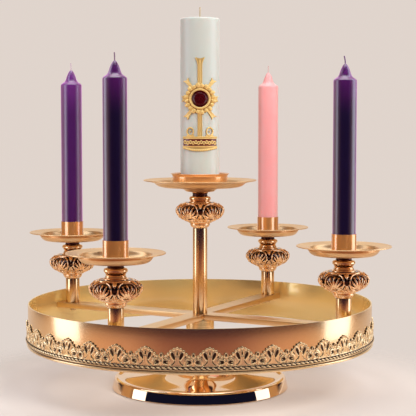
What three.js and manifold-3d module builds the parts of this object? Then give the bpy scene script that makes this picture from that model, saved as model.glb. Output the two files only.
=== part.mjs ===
// Table-top Advent wreath stand in gilt brass: a round foot, a short stem, a cross of four arms inside a
// ring, and five candles. Millimetres, +Z up, origin under the middle of the foot, arms along X and Y.
import * as THREE from 'three';
import { mergeGeometries, mergeVertices } from 'three/addons/utils/BufferGeometryUtils.js';
import Module from 'manifold-3d';

const wasm = await Module();
wasm.setup();

// Driving dimensions
const gap = 0.3;
const ringRadius = 298.5;
const ringWall = 2.4;
const ringBottom = 76;
const ringTop = 151.8;
const armTop = 126.6;
const armThickness = 6;
const armWidth = 30;
const branchCircle = 270;
const footRadius = 154;
const footRimTop = 20;
const footTop = 58;
const stemRadius = 24.5;
const postRadius = 12.7;
const knopRadius = 42.5;
const knopHeight = 41;
const petalCupHeight = 6;
const neckBeadRadius = 18;
const smallKnopBottom = 181;
const centreKnopBottom = 285.6;
const smallPanRadius = 78.2;
const centrePanRadius = 98.3;
const taperRadius = 19.05;
const taperBottom = 253;
const taperShoulder = 530.9;
const pillarRadius = 34;
const pillarBottom = 361.6;
const pillarTop = 641.8;
const smallRodRadius = 3;
const centreRodRadius = 4;
const crestUnits = 38;
const crestPeakTurn = 8.21;
const crestBottom = 91;

// Finishes
const satinGold = { color: 0xd9a05a, roughness: 0.32, metalness: 1 };
const polishedGold = { color: 0xe0a060, roughness: 0.1, metalness: 1 };
const antiqueGold = { color: 0xb08d57, roughness: 0.5, metalness: 1 };
const castIron = { color: 0x3a3a3c, roughness: 0.8, metalness: 0.6 };
const steel = { color: 0x9c9c9e, roughness: 0.4, metalness: 1 };
const greenFelt = { color: 0x28402f, roughness: 0.95, metalness: 0 };
const purpleWax = { color: 0x4e1a66, roughness: 0.35, metalness: 0 };
const pinkWax = { color: 0xf79a9a, roughness: 0.35, metalness: 0 };
const whiteWax = { color: 0xeeeee6, roughness: 0.45, metalness: 0 };
const whiteCotton = { color: 0xe9e2cf, roughness: 0.9, metalness: 0 };
const goldWax = { color: 0xd3a548, roughness: 0.4, metalness: 0.3 };
const redWax = { color: 0x5c1220, roughness: 0.4, metalness: 0 };

const wreath = new THREE.Group();

// A named piece in its finish, moved to a branch's place if it has one
function addPiece(name, geometry, finish, place = [0, 0, 0]) {
  const piece = new THREE.Mesh(geometry, new THREE.MeshStandardMaterial(finish));
  piece.name = name;
  piece.position.set(...place);
  wreath.add(piece);
}

// A turned piece: [radius, height] points round the Z axis. A profile off the axis is closed on itself.
function turned(points, segments) {
  const onAxis = points[0][0] === 0;
  const profile = onAxis ? points : [...points, points[0]];
  const lathe = new THREE.LatheGeometry(profile.map(([r, z]) => new THREE.Vector2(r, z)), segments);
  return lathe.rotateX(Math.PI / 2);
}

function toSolid(geometry) {
  const bare = geometry.clone();
  bare.deleteAttribute('normal');
  bare.deleteAttribute('uv');
  const merged = mergeVertices(bare);
  const mesh = new wasm.Mesh({
    numProp: 3,
    vertProperties: merged.attributes.position.array,
    triVerts: new Uint32Array(merged.index.array),
  });
  return new wasm.Manifold(mesh);
}

function toGeometry(solid) {
  const mesh = solid.getMesh();
  const geometry = new THREE.BufferGeometry();
  geometry.setAttribute('position', new THREE.BufferAttribute(new Float32Array(mesh.vertProperties), 3));
  geometry.setIndex(new THREE.BufferAttribute(new Uint32Array(mesh.triVerts), 1));
  return geometry.toNonIndexed();
}

// Foot: a spun shell with a rounded rim and a hollow sweep up to the stem
const footSegments = 32;
const footWall = 4;
const sweepStart = 136;
const sweepEnd = 27;
const sweepLow = 18.6;

function sweepHeight(radius) {
  const along = (sweepStart - radius) / (sweepStart - sweepEnd);
  return sweepLow + (footTop - sweepLow) * along ** 2.2;
}

const sweepRadii = [136, 108, 82, 60, 42, 27];
const footOutside = [
  [footRadius, gap],
  [footRadius - 0.8, 3],
  [148, 15],
  [146.3, 18.6],
  [144, footRimTop],
  [141, 19.4],
  ...sweepRadii.map((r) => [r, sweepHeight(r)]),
];
const footInside = [
  [centreRodRadius + gap, footTop],
  [centreRodRadius + gap, footTop - footWall],
  ...[42, 82, 136].map((r) => [r - 1, sweepHeight(r) - footWall]),
  [142.5, sweepLow - footWall],
  [footRadius - footWall, gap],
];
addPiece('foot_shell', turned([...footOutside, ...footInside], footSegments), polishedGold);

// The weight fills the rim of the foot and takes the head of the tie rod in its counterbore
const feltThickness = 1.5;
const weightBottom = feltThickness + gap;
const weightTop = sweepLow - footWall - gap;
const headRadius = 8;
const headBottom = 3;
const headTop = 9;
addPiece('foot_weight', turned([
  [headRadius + 2, weightBottom],
  [148.6, weightBottom],
  [141.6, weightTop],
  [centreRodRadius + gap, weightTop],
  [centreRodRadius + gap, headTop + gap],
  [headRadius + 2, headTop + gap],
], footSegments), castIron);
addPiece('base_felt', turned([
  [0, 0],
  [148.6, 0],
  [148.6, feltThickness],
  [0, feltThickness],
], footSegments), greenFelt);

// Stem between the foot and the arms, with a small ring where it meets the foot
const armBottom = armTop - armThickness;
addPiece('stem', turned([
  [centreRodRadius + gap, footTop + gap],
  [27, footTop + gap],
  [28, footTop + 3],
  [26.5, footTop + 6],
  [stemRadius, footTop + 7],
  [stemRadius, armBottom - gap],
  [centreRodRadius + gap, armBottom - gap],
], 16), satinGold);

// Four arms cut from one plate, their ends rounded to the inside of the ring, drilled for the tie rods
function roundHole(x, y, radius) {
  const hole = new THREE.Path();
  hole.absarc(x, y, radius, 0, 2 * Math.PI, true);
  return hole;
}

const armReach = ringRadius - ringWall - 0.6;
const cross = new THREE.Shape();
const halfWidth = armWidth / 2;
for (let arm = 0; arm < 4; arm += 1) {
  const turn = arm * Math.PI / 2;
  const sweep = Math.asin(halfWidth / armReach);
  const corner = new THREE.Vector2(halfWidth, -halfWidth).rotateAround(new THREE.Vector2(), turn);
  if (arm === 0) cross.moveTo(corner.x, corner.y);
  else cross.lineTo(corner.x, corner.y);
  for (const end of [-sweep, 0, sweep]) {
    cross.lineTo(armReach * Math.cos(turn + end), armReach * Math.sin(turn + end));
  }
}
cross.holes.push(roundHole(0, 0, centreRodRadius + gap));
for (const [x, y] of [[1, 0], [0, 1], [-1, 0], [0, -1]]) {
  cross.holes.push(roundHole(x * branchCircle, y * branchCircle, smallRodRadius + gap));
}
const crossPlate = new THREE.ExtrudeGeometry(cross, {
  depth: armThickness,
  bevelEnabled: false,
  curveSegments: 4,
});
addPiece('arm_cross', crossPlate.translate(0, 0, armBottom), satinGold);

// Ring band with the two mouldings round its foot
const ringSegments = 76;
const trimInside = ringRadius + 0.4;
addPiece('ring_band', turned([
  [ringRadius - ringWall, ringBottom],
  [ringRadius, ringBottom],
  [ringRadius, ringTop],
  [ringRadius - ringWall, ringTop],
], ringSegments), satinGold);
addPiece('lower_lip', turned([
  [trimInside, ringBottom],
  [trimInside + 2.2, ringBottom],
  [trimInside + 2.2, 81],
  [trimInside, 84.3],
], ringSegments), antiqueGold);
addPiece('rope_moulding', turned([
  [trimInside, 84.8],
  [trimInside + 3, 86.2],
  [trimInside + 3, 89.3],
  [trimInside, crestBottom - gap],
], ringSegments), antiqueGold);

// Cresting: one unit is a pointed arch with two leaf-shaped openings, and half a bud and a round hole at
// each side. The units stand round the ring as the sides of a polygon and share their upright edges.
const crestInside = ringRadius + gap;
const crestThickness = 2.2;
const crestHalfWidth = crestInside * Math.tan(Math.PI / crestUnits);
const crestEdge = [
  [0, 121.9],
  [7, 118.4],
  [12.4, 114.6],
  [17.6, 109.6],
  [21, 107.4],
];
const budTop = 111.6;

function leafOpening(side) {
  const points = [[2.8, 104], [6.4, 103.4], [10.8, 110.4], [6.6, 114.6]];
  return new THREE.Path(points.map(([x, z]) => new THREE.Vector2(side * x, z)));
}

function eyeOpening(side) {
  const centre = [side * (crestHalfWidth - 5.6), 96.6];
  const eye = new THREE.Path();
  eye.absarc(centre[0], centre[1], 3, 0, 2 * Math.PI, true);
  return eye;
}

function crestUnit() {
  const outline = [[-crestHalfWidth, crestBottom], [crestHalfWidth, crestBottom], [crestHalfWidth, budTop]];
  outline.push(...[...crestEdge].reverse());
  outline.push(...crestEdge.slice(1).map(([x, z]) => [-x, z]), [-crestHalfWidth, budTop]);
  const rim = outline.map(([x, z]) => new THREE.Vector2(x, z));
  const openings = [
    ...[-1, 1].map((side) => leafOpening(side).getPoints()),
    ...[-1, 1].map((side) => eyeOpening(side).getPoints(2).slice(0, -1)),
  ];
  openings.forEach((opening) => {
    if (THREE.ShapeUtils.isClockWise(opening)) return;
    opening.reverse();
  });
  const faces = THREE.ShapeUtils.triangulateShape(rim, openings);
  const flat = [...rim, ...openings.flat()];
  const widening = 1 + crestThickness / crestInside;
  const front = flat.map((p) => [p.x * widening, -crestInside - crestThickness, p.y]);
  const back = flat.map((p) => [p.x, -crestInside, p.y]);
  const corners = [];
  for (const [a, b, c] of faces) {
    corners.push(...front[a], ...front[b], ...front[c]);
    corners.push(...back[c], ...back[b], ...back[a]);
  }
  let first = 0;
  for (const loop of [rim, ...openings]) {
    for (let i = 0; i < loop.length; i += 1) {
      const a = first + i;
      const b = first + (i + 1) % loop.length;
      const sharedEdge = Math.abs(flat[a].x) === crestHalfWidth && flat[a].x === flat[b].x;
      if (!sharedEdge) {
        corners.push(...front[a], ...back[a], ...back[b]);
        corners.push(...front[a], ...back[b], ...front[b]);
      }
    }
    first += loop.length;
  }
  const unit = new THREE.BufferGeometry();
  unit.setAttribute('position', new THREE.Float32BufferAttribute(corners, 3));
  return unit;
}

const crestPieces = [];
for (let k = 0; k < crestUnits; k += 1) {
  const turn = THREE.MathUtils.degToRad(crestPeakTurn + k * 360 / crestUnits + 90);
  crestPieces.push(crestUnit().rotateZ(turn));
}
const crestRing = mergeVertices(mergeGeometries(crestPieces), 0.01);
addPiece('gallery_crest', crestRing.toNonIndexed(), antiqueGold);

// Knop: a cast ball, wider than high, with six oval panels between deep notches, over a petal cup. A row is
// its radius, its height over the ball's bottom, and how deep the notches cut there, as a share of the radius.
const knopPanels = 6;
const knopSteps = 4;

function knopGeometry(bottom, bore) {
  const rows = [
    [13, -petalCupHeight, 0],
    [17, 0, 0.06],
    [31, 8, 0.1],
    [knopRadius, 0.6 * knopHeight, 0.16],
    [34, 34, 0.12],
    [22.5, knopHeight, 0],
  ];
  const profile = rows.map(([r, z]) => [r, bottom + z]);
  profile.unshift([bore, bottom - petalCupHeight]);
  profile.push([bore, bottom + knopHeight]);
  const knop = turned(profile, knopPanels * knopSteps);
  const places = knop.attributes.position;
  for (let i = 0; i < places.count; i += 1) {
    const [x, y, z] = [places.getX(i), places.getY(i), places.getZ(i)];
    const row = rows.find(([, height]) => Math.abs(bottom + height - z) < 0.01);
    const radius = Math.hypot(x, y);
    if (row && radius > bore + 1) {
      const panel = Math.abs(Math.cos(Math.atan2(y, x) * knopPanels / 2));
      const scale = 1 - row[2] * (1 - Math.min(1, 1.4 * panel));
      places.setXY(i, x * scale, y * scale);
    }
  }
  return knop;
}

// Neck over the knop: a coved collar and a round bead, and on a small branch a short drum above them
function neckGeometry(knopBottom, bore, drumTop) {
  const base = knopBottom + knopHeight + gap;
  const profile = [
    [bore, base],
    [22, base],
    [16.6, base + 4.6],
    [neckBeadRadius, base + 8.5],
    [neckBeadRadius, base + 12.5],
    [15.8, base + 15.6],
  ];
  if (drumTop) profile.push([15.8, drumTop]);
  profile.push([bore, drumTop ?? base + 15.6]);
  return turned(profile, 16);
}

function postGeometry(top, bore) {
  return turned([
    [bore, armTop + gap],
    [postRadius, armTop + gap],
    [postRadius, top],
    [bore, top],
  ], 12);
}

// A threaded rod that clamps a stack of turned pieces: a nut or head at its foot, and a nut at its top where
// it doesn't screw into the piece above
function tieRod(radius, nutRadius, footNut, topNut, end) {
  const points = [[0, footNut[0]], [nutRadius, footNut[0]], [nutRadius, footNut[1]], [radius, footNut[1]]];
  if (topNut) points.push([radius, topNut[0]], [nutRadius, topNut[0]], [nutRadius, topNut[1]], [0, topNut[1]]);
  else points.push([radius, end], [0, end]);
  return turned(points, 6);
}

// Drip pan: a round bowl with a broad thin brim
const smallBore = smallRodRadius + gap;
const smallPanBottom = 245.3;
const smallPanFloor = 247.3;
const smallPan = [
  [smallBore, smallPanBottom],
  [50, smallPanBottom],
  [57.5, 251],
  [60.5, 256],
  [smallPanRadius, 260.4],
  [smallPanRadius - 0.6, 261.6],
  [59, 257.8],
  [55.5, 252],
  [49, smallPanFloor],
  [smallBore, smallPanFloor],
];

// Candle socket standing in the pan, and the plain candle in it, with a wick from end to end
const socketWall = 1.05;
const socketInside = taperRadius + gap;
const socketBottom = smallPanFloor + gap;
const socketFloor = socketBottom + 1.5;
const socketTop = 280.8;
const socket = [
  [smallBore, socketBottom],
  [socketInside + socketWall, socketBottom],
  [socketInside + socketWall, socketTop],
  [socketInside, socketTop],
  [socketInside, socketFloor],
  [smallBore, socketFloor],
];
const wickRadius = 1.2;
const taperTip = 558;
const taper = [
  [wickRadius + gap, taperBottom],
  [taperRadius, taperBottom],
  [taperRadius, taperShoulder],
  [13, taperShoulder + 5],
  [7.6, taperShoulder + 16],
  [wickRadius + gap + 0.6, taperTip],
  [wickRadius + gap, taperTip],
];
const taperWickTop = 571;

function wick(bottom, top, radius) {
  return turned([[0, bottom], [radius, bottom], [radius, top], [0, top]], 6);
}

const branches = [
  ['right', [branchCircle, 0, 0], purpleWax],
  ['rear', [0, branchCircle, 0], pinkWax],
  ['left', [-branchCircle, 0, 0], purpleWax],
  ['front', [0, -branchCircle, 0], purpleWax],
];
for (const [side, place, wax] of branches) {
  const footNut = [armBottom - gap - 5, armBottom - gap];
  const topNut = [socketFloor + gap, socketFloor + gap + 3];
  addPiece(`${side}_tie_rod`, tieRod(smallRodRadius, 5.5, footNut, topNut), steel, place);
  addPiece(`${side}_post`, postGeometry(smallKnopBottom - petalCupHeight - gap, smallBore), polishedGold, place);
  addPiece(`${side}_knop`, knopGeometry(smallKnopBottom, smallBore), polishedGold, place);
  addPiece(`${side}_neck`, neckGeometry(smallKnopBottom, smallBore, smallPanBottom - gap), polishedGold, place);
  addPiece(`${side}_pan`, turned(smallPan, 24), satinGold, place);
  addPiece(`${side}_socket`, turned(socket, 16), satinGold, place);
  addPiece(`${side}_candle`, turned(taper, 16), wax, place);
  addPiece(`${side}_wick`, wick(taperBottom, taperWickTop, wickRadius), whiteCotton, place);
}

// Middle branch: the same castings on a taller post, a broader pan, and a cup with a pricket for the pillar
const centreBore = centreRodRadius + gap;
const centreNeckTop = centreKnopBottom + knopHeight + gap + 15.6;
const centrePanFloor = 352;
const cupBottom = centrePanFloor + gap;
const cupFloor = cupBottom + 2;
const pricketBottom = cupFloor + gap;
const pricketFlangeTop = pillarBottom - gap;
const pricketTop = 385;
const rodEnd = 357.7;
const cupRadius = 47.8;
const cupTop = 374.8;

addPiece('centre_tie_rod', tieRod(centreRodRadius, headRadius, [headBottom, headTop], null, rodEnd), steel);
addPiece('centre_post', postGeometry(centreKnopBottom - petalCupHeight - gap, centreBore), polishedGold);
addPiece('centre_knop', knopGeometry(centreKnopBottom, centreBore), polishedGold);
addPiece('centre_neck', neckGeometry(centreKnopBottom, centreBore), polishedGold);
addPiece('centre_pan', turned([
  [centreBore, centreNeckTop + gap],
  [24, centreNeckTop + gap],
  [33, 348.6],
  [68, 350.2],
  [79, 357],
  [centrePanRadius, 362.4],
  [centrePanRadius - 0.8, 363.6],
  [77.5, 359],
  [67, centrePanFloor],
  [centreBore, centrePanFloor],
], 32), satinGold);
addPiece('centre_cup', turned([
  [centreBore, cupBottom],
  [cupRadius, cupBottom],
  [cupRadius, 371],
  [51.2, 373.8],
  [50.6, cupTop],
  [cupRadius - 1.6, 372],
  [cupRadius - 1.6, cupFloor],
  [centreBore, cupFloor],
], 24), satinGold);
addPiece('centre_pricket', turned([
  [0, rodEnd + gap],
  [centreBore, rodEnd + gap],
  [centreBore, pricketBottom],
  [14, pricketBottom],
  [14, pricketFlangeTop],
  [2.6, pricketFlangeTop],
  [0, pricketTop],
], 12), steel);

// Pillar candle, bored for the pricket and the wick, with a softly rounded top edge
const pillarWickRadius = 1.5;
const pricketBore = 3.2;
addPiece('centre_candle', turned([
  [pricketBore, pillarBottom],
  [pillarRadius, pillarBottom],
  [pillarRadius, pillarTop - 2.6],
  [pillarRadius - 1.4, pillarTop - 0.7],
  [pillarRadius - 4, pillarTop],
  [pillarWickRadius + gap, pillarTop],
  [pillarWickRadius + gap, pricketTop + 1],
  [pricketBore, pricketTop + 1],
], 24), whiteWax);
addPiece('centre_wick', wick(pricketTop + 2, 661, pillarWickRadius), whiteCotton);

// Wax relief on the pillar: flat outlines pushed through a thin tube that fits round the candle, then turned
// to face between the front and right branches
const reliefTurn = THREE.MathUtils.degToRad(29);
const medallionHeight = 500;
const medallionRadius = 14;
const bandBottom = 410;
const bandTop = 434.6;
const bandHalfWidth = 29.5;
const stripeBottom = 418;
const stripeTop = 430.4;

function prism(points) {
  const shape = new THREE.Shape(points.map(([x, z]) => new THREE.Vector2(x, z)));
  const block = new THREE.ExtrudeGeometry(shape, { depth: 40, bevelEnabled: false });
  return toSolid(block.rotateX(Math.PI / 2).translate(0, -10, 0));
}

function waxTube(thickness) {
  const inside = pillarRadius + gap;
  return toSolid(turned([
    [inside, bandBottom - 10],
    [inside + thickness, bandBottom - 10],
    [inside + thickness, pillarTop - 20],
    [inside, pillarTop - 20],
  ], 24));
}

function mirrored(points) {
  return [...points, ...[...points].reverse().map(([x, z]) => [-x, z])];
}

function star(rays, outer, inner) {
  const points = [];
  for (let i = 0; i < 2 * rays; i += 1) {
    const radius = i % 2 ? inner : outer;
    const angle = (i + 0.5) * Math.PI / rays;
    points.push([radius * Math.cos(angle), medallionHeight + radius * Math.sin(angle)]);
  }
  return points;
}

function disc(x, z, radius, sides) {
  const points = [];
  for (let i = 0; i < sides; i += 1) {
    const angle = (i + 0.5) * 2 * Math.PI / sides;
    points.push([x + radius * Math.cos(angle), z + radius * Math.sin(angle)]);
  }
  return points;
}

const box = (x, low, high) => [[-x, low], [x, low], [x, high], [-x, high]];
const crossStem = mirrored([[3, bandTop - 1], [3, 561], [7, 571]]);
const crossBar = [[27, -7], [27, 7], [20, 3], [-20, 3], [-27, 7], [-27, -7], [-20, -3], [20, -3]]
  .map(([x, z]) => [x, medallionHeight + z]);
let relief = prism(box(bandHalfWidth, bandBottom, bandTop));
relief = relief.subtract(prism(box(bandHalfWidth - 2, stripeBottom, stripeTop)));
relief = relief.add(prism(crossStem)).add(prism(crossBar)).add(prism(star(12, 24.5, 19)));
for (const side of [-1, 1]) {
  relief = relief.add(prism(disc(side * 17, bandTop + 5, 6.5, 10)));
  relief = relief.subtract(prism(disc(side * 17, bandTop + 5.4, 3.4, 8)));
}
relief = relief.subtract(prism(disc(0, medallionHeight, medallionRadius, 16)));
addPiece('relief_gold', toGeometry(relief.intersect(waxTube(1.8))).rotateZ(reliefTurn), goldWax);

const medallion = prism(disc(0, medallionHeight, medallionRadius - gap, 16)).intersect(waxTube(2.4));
addPiece('relief_medallion', toGeometry(medallion).rotateZ(reliefTurn), redWax);
const stripe = prism(box(bandHalfWidth - 2 - gap, stripeBottom + gap, stripeTop - gap)).intersect(waxTube(1.1));
addPiece('relief_stripe', toGeometry(stripe).rotateZ(reliefTurn), redWax);

export default wreath;
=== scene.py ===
# %% [markdown]
# # A gilt Advent wreath stand, dressed in Blender
# The real object is a table-top stand of gilt brass. A round foot carries a cross of four arms, the arms
# carry an open ring, and five turned branches with cast knops hold four plain candles and a pillar candle.
# A solid model of it is already packed at true size. This lesson keeps that model as a fixed frame and makes
# the surfaces that the eye sees: fine turned curves, cast ornament, and the finish of metal and wax.

# %% Load the solid model
import math

import bmesh
import bpy
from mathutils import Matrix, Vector


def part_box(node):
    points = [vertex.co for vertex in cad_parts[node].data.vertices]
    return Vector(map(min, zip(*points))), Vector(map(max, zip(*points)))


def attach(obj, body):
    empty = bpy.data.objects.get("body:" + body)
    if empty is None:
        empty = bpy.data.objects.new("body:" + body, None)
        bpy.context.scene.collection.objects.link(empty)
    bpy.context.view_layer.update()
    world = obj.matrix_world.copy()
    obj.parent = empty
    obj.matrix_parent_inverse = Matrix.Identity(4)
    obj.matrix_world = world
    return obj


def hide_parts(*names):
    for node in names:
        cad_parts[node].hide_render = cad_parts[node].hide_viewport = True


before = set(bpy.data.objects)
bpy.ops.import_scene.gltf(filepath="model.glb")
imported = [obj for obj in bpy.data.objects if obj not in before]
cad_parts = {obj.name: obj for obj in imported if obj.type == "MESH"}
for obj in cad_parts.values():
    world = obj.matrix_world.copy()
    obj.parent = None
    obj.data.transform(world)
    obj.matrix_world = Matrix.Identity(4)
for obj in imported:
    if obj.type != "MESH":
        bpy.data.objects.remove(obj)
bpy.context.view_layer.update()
MM = 0.001
print("solid nodes:", len(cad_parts))

# %% [markdown]
# ## Where things stand
# The solids already know where each branch stands and how high each piece reaches, so those numbers are
# asked for and not typed again. Sizes below are in millimetres, because that is how a metal worker thinks,
# and are turned into metres only when a mesh is made.

# %% Read places and sizes from the solids
SIDES = ("right", "rear", "left", "front")


def low(node):
    """The lowest corner of a solid's box, in millimetres."""
    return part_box(node)[0] / MM


def high(node):
    """The highest corner of a solid's box, in millimetres."""
    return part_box(node)[1] / MM


def stand_point(node):
    """The point on the floor under the middle of a solid, in millimetres."""
    middle = (low(node) + high(node)) / 2
    return Vector((middle.x, middle.y, 0))


BRANCHES = {side: stand_point(f"{side}_post") for side in SIDES}
ALL_FIVE = {**BRANCHES, "centre": Vector((0, 0, 0))}
RING_RADIUS = high("ring_band").x
RING_BOTTOM, RING_TOP = low("ring_band").z, high("ring_band").z
print("ring radius", round(RING_RADIUS, 1), "branches", [tuple(round(v) for v in b) for b in BRANCHES.values()])

# %% [markdown]
# ## The camera
# A product photograph is taken with a long lens from a little above, so upright lines stay upright. The
# camera stands about two metres away, and looks between the front and the right-hand branch, slightly down.

# %% Place the camera
VIEW_TURN = math.radians(29.06)
TOWARDS_CAMERA = Vector((math.sin(VIEW_TURN), -math.cos(VIEW_TURN), 0))
TO_THE_RIGHT = Vector((math.cos(VIEW_TURN), math.sin(VIEW_TURN), 0))
CAMERA_DISTANCE = 2.158
CAMERA_HEIGHT = 0.465
CAMERA_PITCH = math.radians(4.0)
CAMERA_AIM = math.radians(28.69)
LENS = 107.5
SENSOR_WIDTH = 36

camera_data = bpy.data.cameras.new("photo_camera")
camera_data.lens = LENS
camera_data.sensor_width = SENSOR_WIDTH
camera = bpy.data.objects.new("photo_camera", camera_data)
camera.location = TOWARDS_CAMERA * CAMERA_DISTANCE + Vector((0, 0, CAMERA_HEIGHT))
camera.rotation_euler = (math.pi / 2 - CAMERA_PITCH, 0, CAMERA_AIM)
bpy.context.scene.collection.objects.link(camera)
bpy.context.scene.camera = camera
print("camera at", [round(v, 3) for v in camera.location])

# %% [markdown]
# ## Shader sums as Python
# A finish such as brushed brass is a recipe of noises, ramps and sums. Wiring that by hand is slow to read,
# so a small class wraps one output socket, and its operators add Math nodes. Any other node comes from one
# method, which takes the node's type, its settings and what goes into its inputs. A socket is called by its
# name, or by its number where two sockets of a node share a name.

# %% An output socket that can be used in sums
class Wire:
    """One output socket that can be used in sums."""

    def __init__(self, nodes, socket):
        self.nodes = nodes
        self.socket = socket

    def _maths(self, operation, first, second):
        return self.nodes.add("ShaderNodeMath", {"operation": operation}, {0: first, 1: second})

    def __add__(self, other):
        return self._maths("ADD", self, other)

    def __radd__(self, other):
        return self._maths("ADD", other, self)

    def __sub__(self, other):
        return self._maths("SUBTRACT", self, other)

    def __rsub__(self, other):
        return self._maths("SUBTRACT", other, self)

    def __mul__(self, other):
        return self._maths("MULTIPLY", self, other)

    def __truediv__(self, other):
        return self._maths("DIVIDE", self, other)

    def clamped(self, start, end):
        """0 below start, 1 above end, and a smooth rise between them."""
        settings = {"interpolation_type": "SMOOTHSTEP"}
        return self.nodes.add("ShaderNodeMapRange", settings, {"Value": self, 1: start, 2: end})


print("a wire can be added, subtracted, multiplied, divided and clamped")

# %% A node tree that is built by calls
class Nodes:
    """A node tree that is being built."""

    def __init__(self, tree):
        self.tree = tree

    def add(self, kind, settings=None, inputs=None, output=0):
        """Adds one node, with its settings first and then its inputs, and gives one of its outputs."""
        node = self.tree.nodes.new(kind)
        for key, value in (settings or {}).items():
            if key == "stops":
                while len(node.color_ramp.elements) < len(value):
                    node.color_ramp.elements.new(0.5)
                for element, (place, colour) in zip(node.color_ramp.elements, value):
                    element.position = place
                    element.color = (*colour, 1)
            else:
                setattr(node, key, value)
        for key, value in (inputs or {}).items():
            self.feed(node.inputs[key], value)
        return Wire(self, node.outputs[output])

    def feed(self, socket, value):
        """Links a wire to a socket, or sets the socket's own value."""
        if isinstance(value, Wire):
            self.tree.links.new(value.socket, socket)
        elif hasattr(socket.default_value, "__len__") and len(socket.default_value) == 4:
            socket.default_value = (*value, 1) if len(value) == 3 else value
        else:
            socket.default_value = value

    def place(self):
        """The point on the surface, in the object's own metres."""
        return self.add("ShaderNodeTexCoord", output="Object")

    def stretched(self, scale):
        """The place, with each axis multiplied."""
        return self.add("ShaderNodeMapping", None, {"Vector": self.place(), "Scale": scale})

    def from_axis(self):
        """The distance of the point from the middle post, in metres."""
        level = self.add("ShaderNodeVectorMath", {"operation": "MULTIPLY"}, {0: self.place(), 1: (1, 1, 0)})
        return self.add("ShaderNodeVectorMath", {"operation": "LENGTH"}, {0: level}, "Value")

    def upwards(self, vector):
        """The Z part of a vector."""
        return self.add("ShaderNodeSeparateXYZ", None, {"Vector": vector}, "Z")

    def relief(self):
        """The depth that a casting's mesh carries at each point: 0 in its hollows and 1 where it stands proud."""
        return self.add("ShaderNodeAttribute", {"attribute_name": "relief"}, None, "Fac")

    def noise(self, vector, scale, detail=2.0):
        """A grey noise between 0 and 1."""
        return self.add("ShaderNodeTexNoise", None, {"Vector": vector, "Scale": scale, "Detail": detail})

    def blend(self, share, first, second):
        """Two colours mixed by a share."""
        return self.add("ShaderNodeMix", {"data_type": "RGBA"}, {0: share, 6: first, 7: second}, 2)

    def bump(self, height, strength, depth):
        """A normal tilted by a height."""
        inputs = {"Strength": strength, "Distance": depth, "Height": height}
        return self.add("ShaderNodeBump", None, inputs)


print("a node tree is built by calls of add and feed")

# %% A new finish
def new_finish(name, **constants):
    """A material with its main shader's constant sockets set, and the means to wire the others."""
    material = bpy.data.materials.new(name)
    material.use_nodes = True
    nodes = Nodes(material.node_tree)
    shader = material.node_tree.nodes["Principled BSDF"]
    for key, value in constants.items():
        nodes.feed(shader.inputs[key.replace("_", " ")], value)
    return material, nodes, shader


print("a finish starts from the Principled shader")

# %% [markdown]
# ## The studio
# Polished metal shows the room and not itself, so the room is worth some care. It could be built of cards and
# walls, but a world shader is lighter: two colour ramps run round the horizon, from the camera's side at 0 to
# the backdrop's side at 1, one for the walls and one for the table and floor that the metal sees below them.
# The camera's half is dark, which gives the deep brown stripe down each post. A warm wall stands at each
# side, and the backdrop is pale. This room lights and is mirrored, but isn't seen: where the camera looks
# past the stand, a light path switch gives it one plain colour.

# %% Choose the colours round the room
BACKDROP = (0.745, 0.660, 0.605)
ROOM_ROUND = [
    (0.00, (0.005, 0.007, 0.030)),
    (0.50, (0.007, 0.008, 0.028)),
    (0.58, (0.52, 0.30, 0.14)),
    (0.66, (0.48, 0.27, 0.13)),
    (0.70, (0.03, 0.02, 0.03)),
    (0.76, (0.05, 0.03, 0.04)),
    (0.79, (0.78, 0.69, 0.62)),
    (1.00, (0.78, 0.69, 0.62)),
]
FLOOR_ROUND = [
    (0.00, (0.275, 0.105, 0.082)),
    (0.12, (0.34, 0.14, 0.105)),
    (0.26, (0.68, 0.36, 0.24)),
    (0.38, (0.78, 0.44, 0.28)),
    (0.52, (0.78, 0.52, 0.34)),
    (0.80, (0.66, 0.52, 0.42)),
    (1.00, (0.78, 0.66, 0.56)),
]
FRONT_HORIZON = 0.08
print("wall and floor colours:", len(ROOM_ROUND), len(FLOOR_ROUND))

# %% Build the room that the metal mirrors
world = bpy.data.worlds.new("studio")
world.use_nodes = True
world.node_tree.nodes.clear()
room = Nodes(world.node_tree)
direction = room.add("ShaderNodeTexCoord", output="Generated")
level = room.add("ShaderNodeVectorMath", {"operation": "MULTIPLY"}, {0: direction, 1: (1, 1, 0)})
level = room.add("ShaderNodeVectorMath", {"operation": "NORMALIZE"}, {0: level})
towards = room.add("ShaderNodeVectorMath", {"operation": "DOT_PRODUCT"}, {0: level, 1: TOWARDS_CAMERA}, "Value")
round_share = room.add("ShaderNodeMath", {"operation": "ARCCOSINE"}, {0: towards}) / math.pi
walls = room.add("ShaderNodeValToRGB", {"stops": ROOM_ROUND}, {0: round_share})
far_floor = room.add("ShaderNodeValToRGB", {"stops": FLOOR_ROUND}, {0: round_share})
front_half = 1 - round_share.clamped(0.42, 0.52)
above_horizon = (room.upwards(direction) - front_half * FRONT_HORIZON).clamped(-0.05, 0.03)
room_colour = room.blend(above_horizon, far_floor, walls)
seen_direct = room.add("ShaderNodeLightPath", output="Is Camera Ray")
shown_colour = room.blend(seen_direct, room_colour, BACKDROP)
background = room.add("ShaderNodeBackground", None, {"Color": shown_colour, "Strength": 1.0})
output = world.node_tree.nodes.new("ShaderNodeOutputWorld")
world.node_tree.links.new(background.socket, output.inputs["Surface"])
bpy.context.scene.world = world
bpy.context.scene.view_settings.view_transform = "Standard"
print("room built")

# %% [markdown]
# ## The lights
# A tall soft panel stands at each side and gives the bright stripes on the metal and the candles. A wide one
# hangs overhead, and a third fills the front. Real studios hide lamps from the metal with black cards. Here a
# lamp has a switch for that: the front fill is kept out of reflections. The right-hand panel is the other way
# round. It only makes reflections, because its light would burn out the floor, and a weaker lamp that casts
# none lights that side in its place.

# %% Hang the soft lights
LIGHT_AIM = Vector((0, 0, 0.35))
COOL_WHITE = (0.90, 1.0, 1.18)


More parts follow.
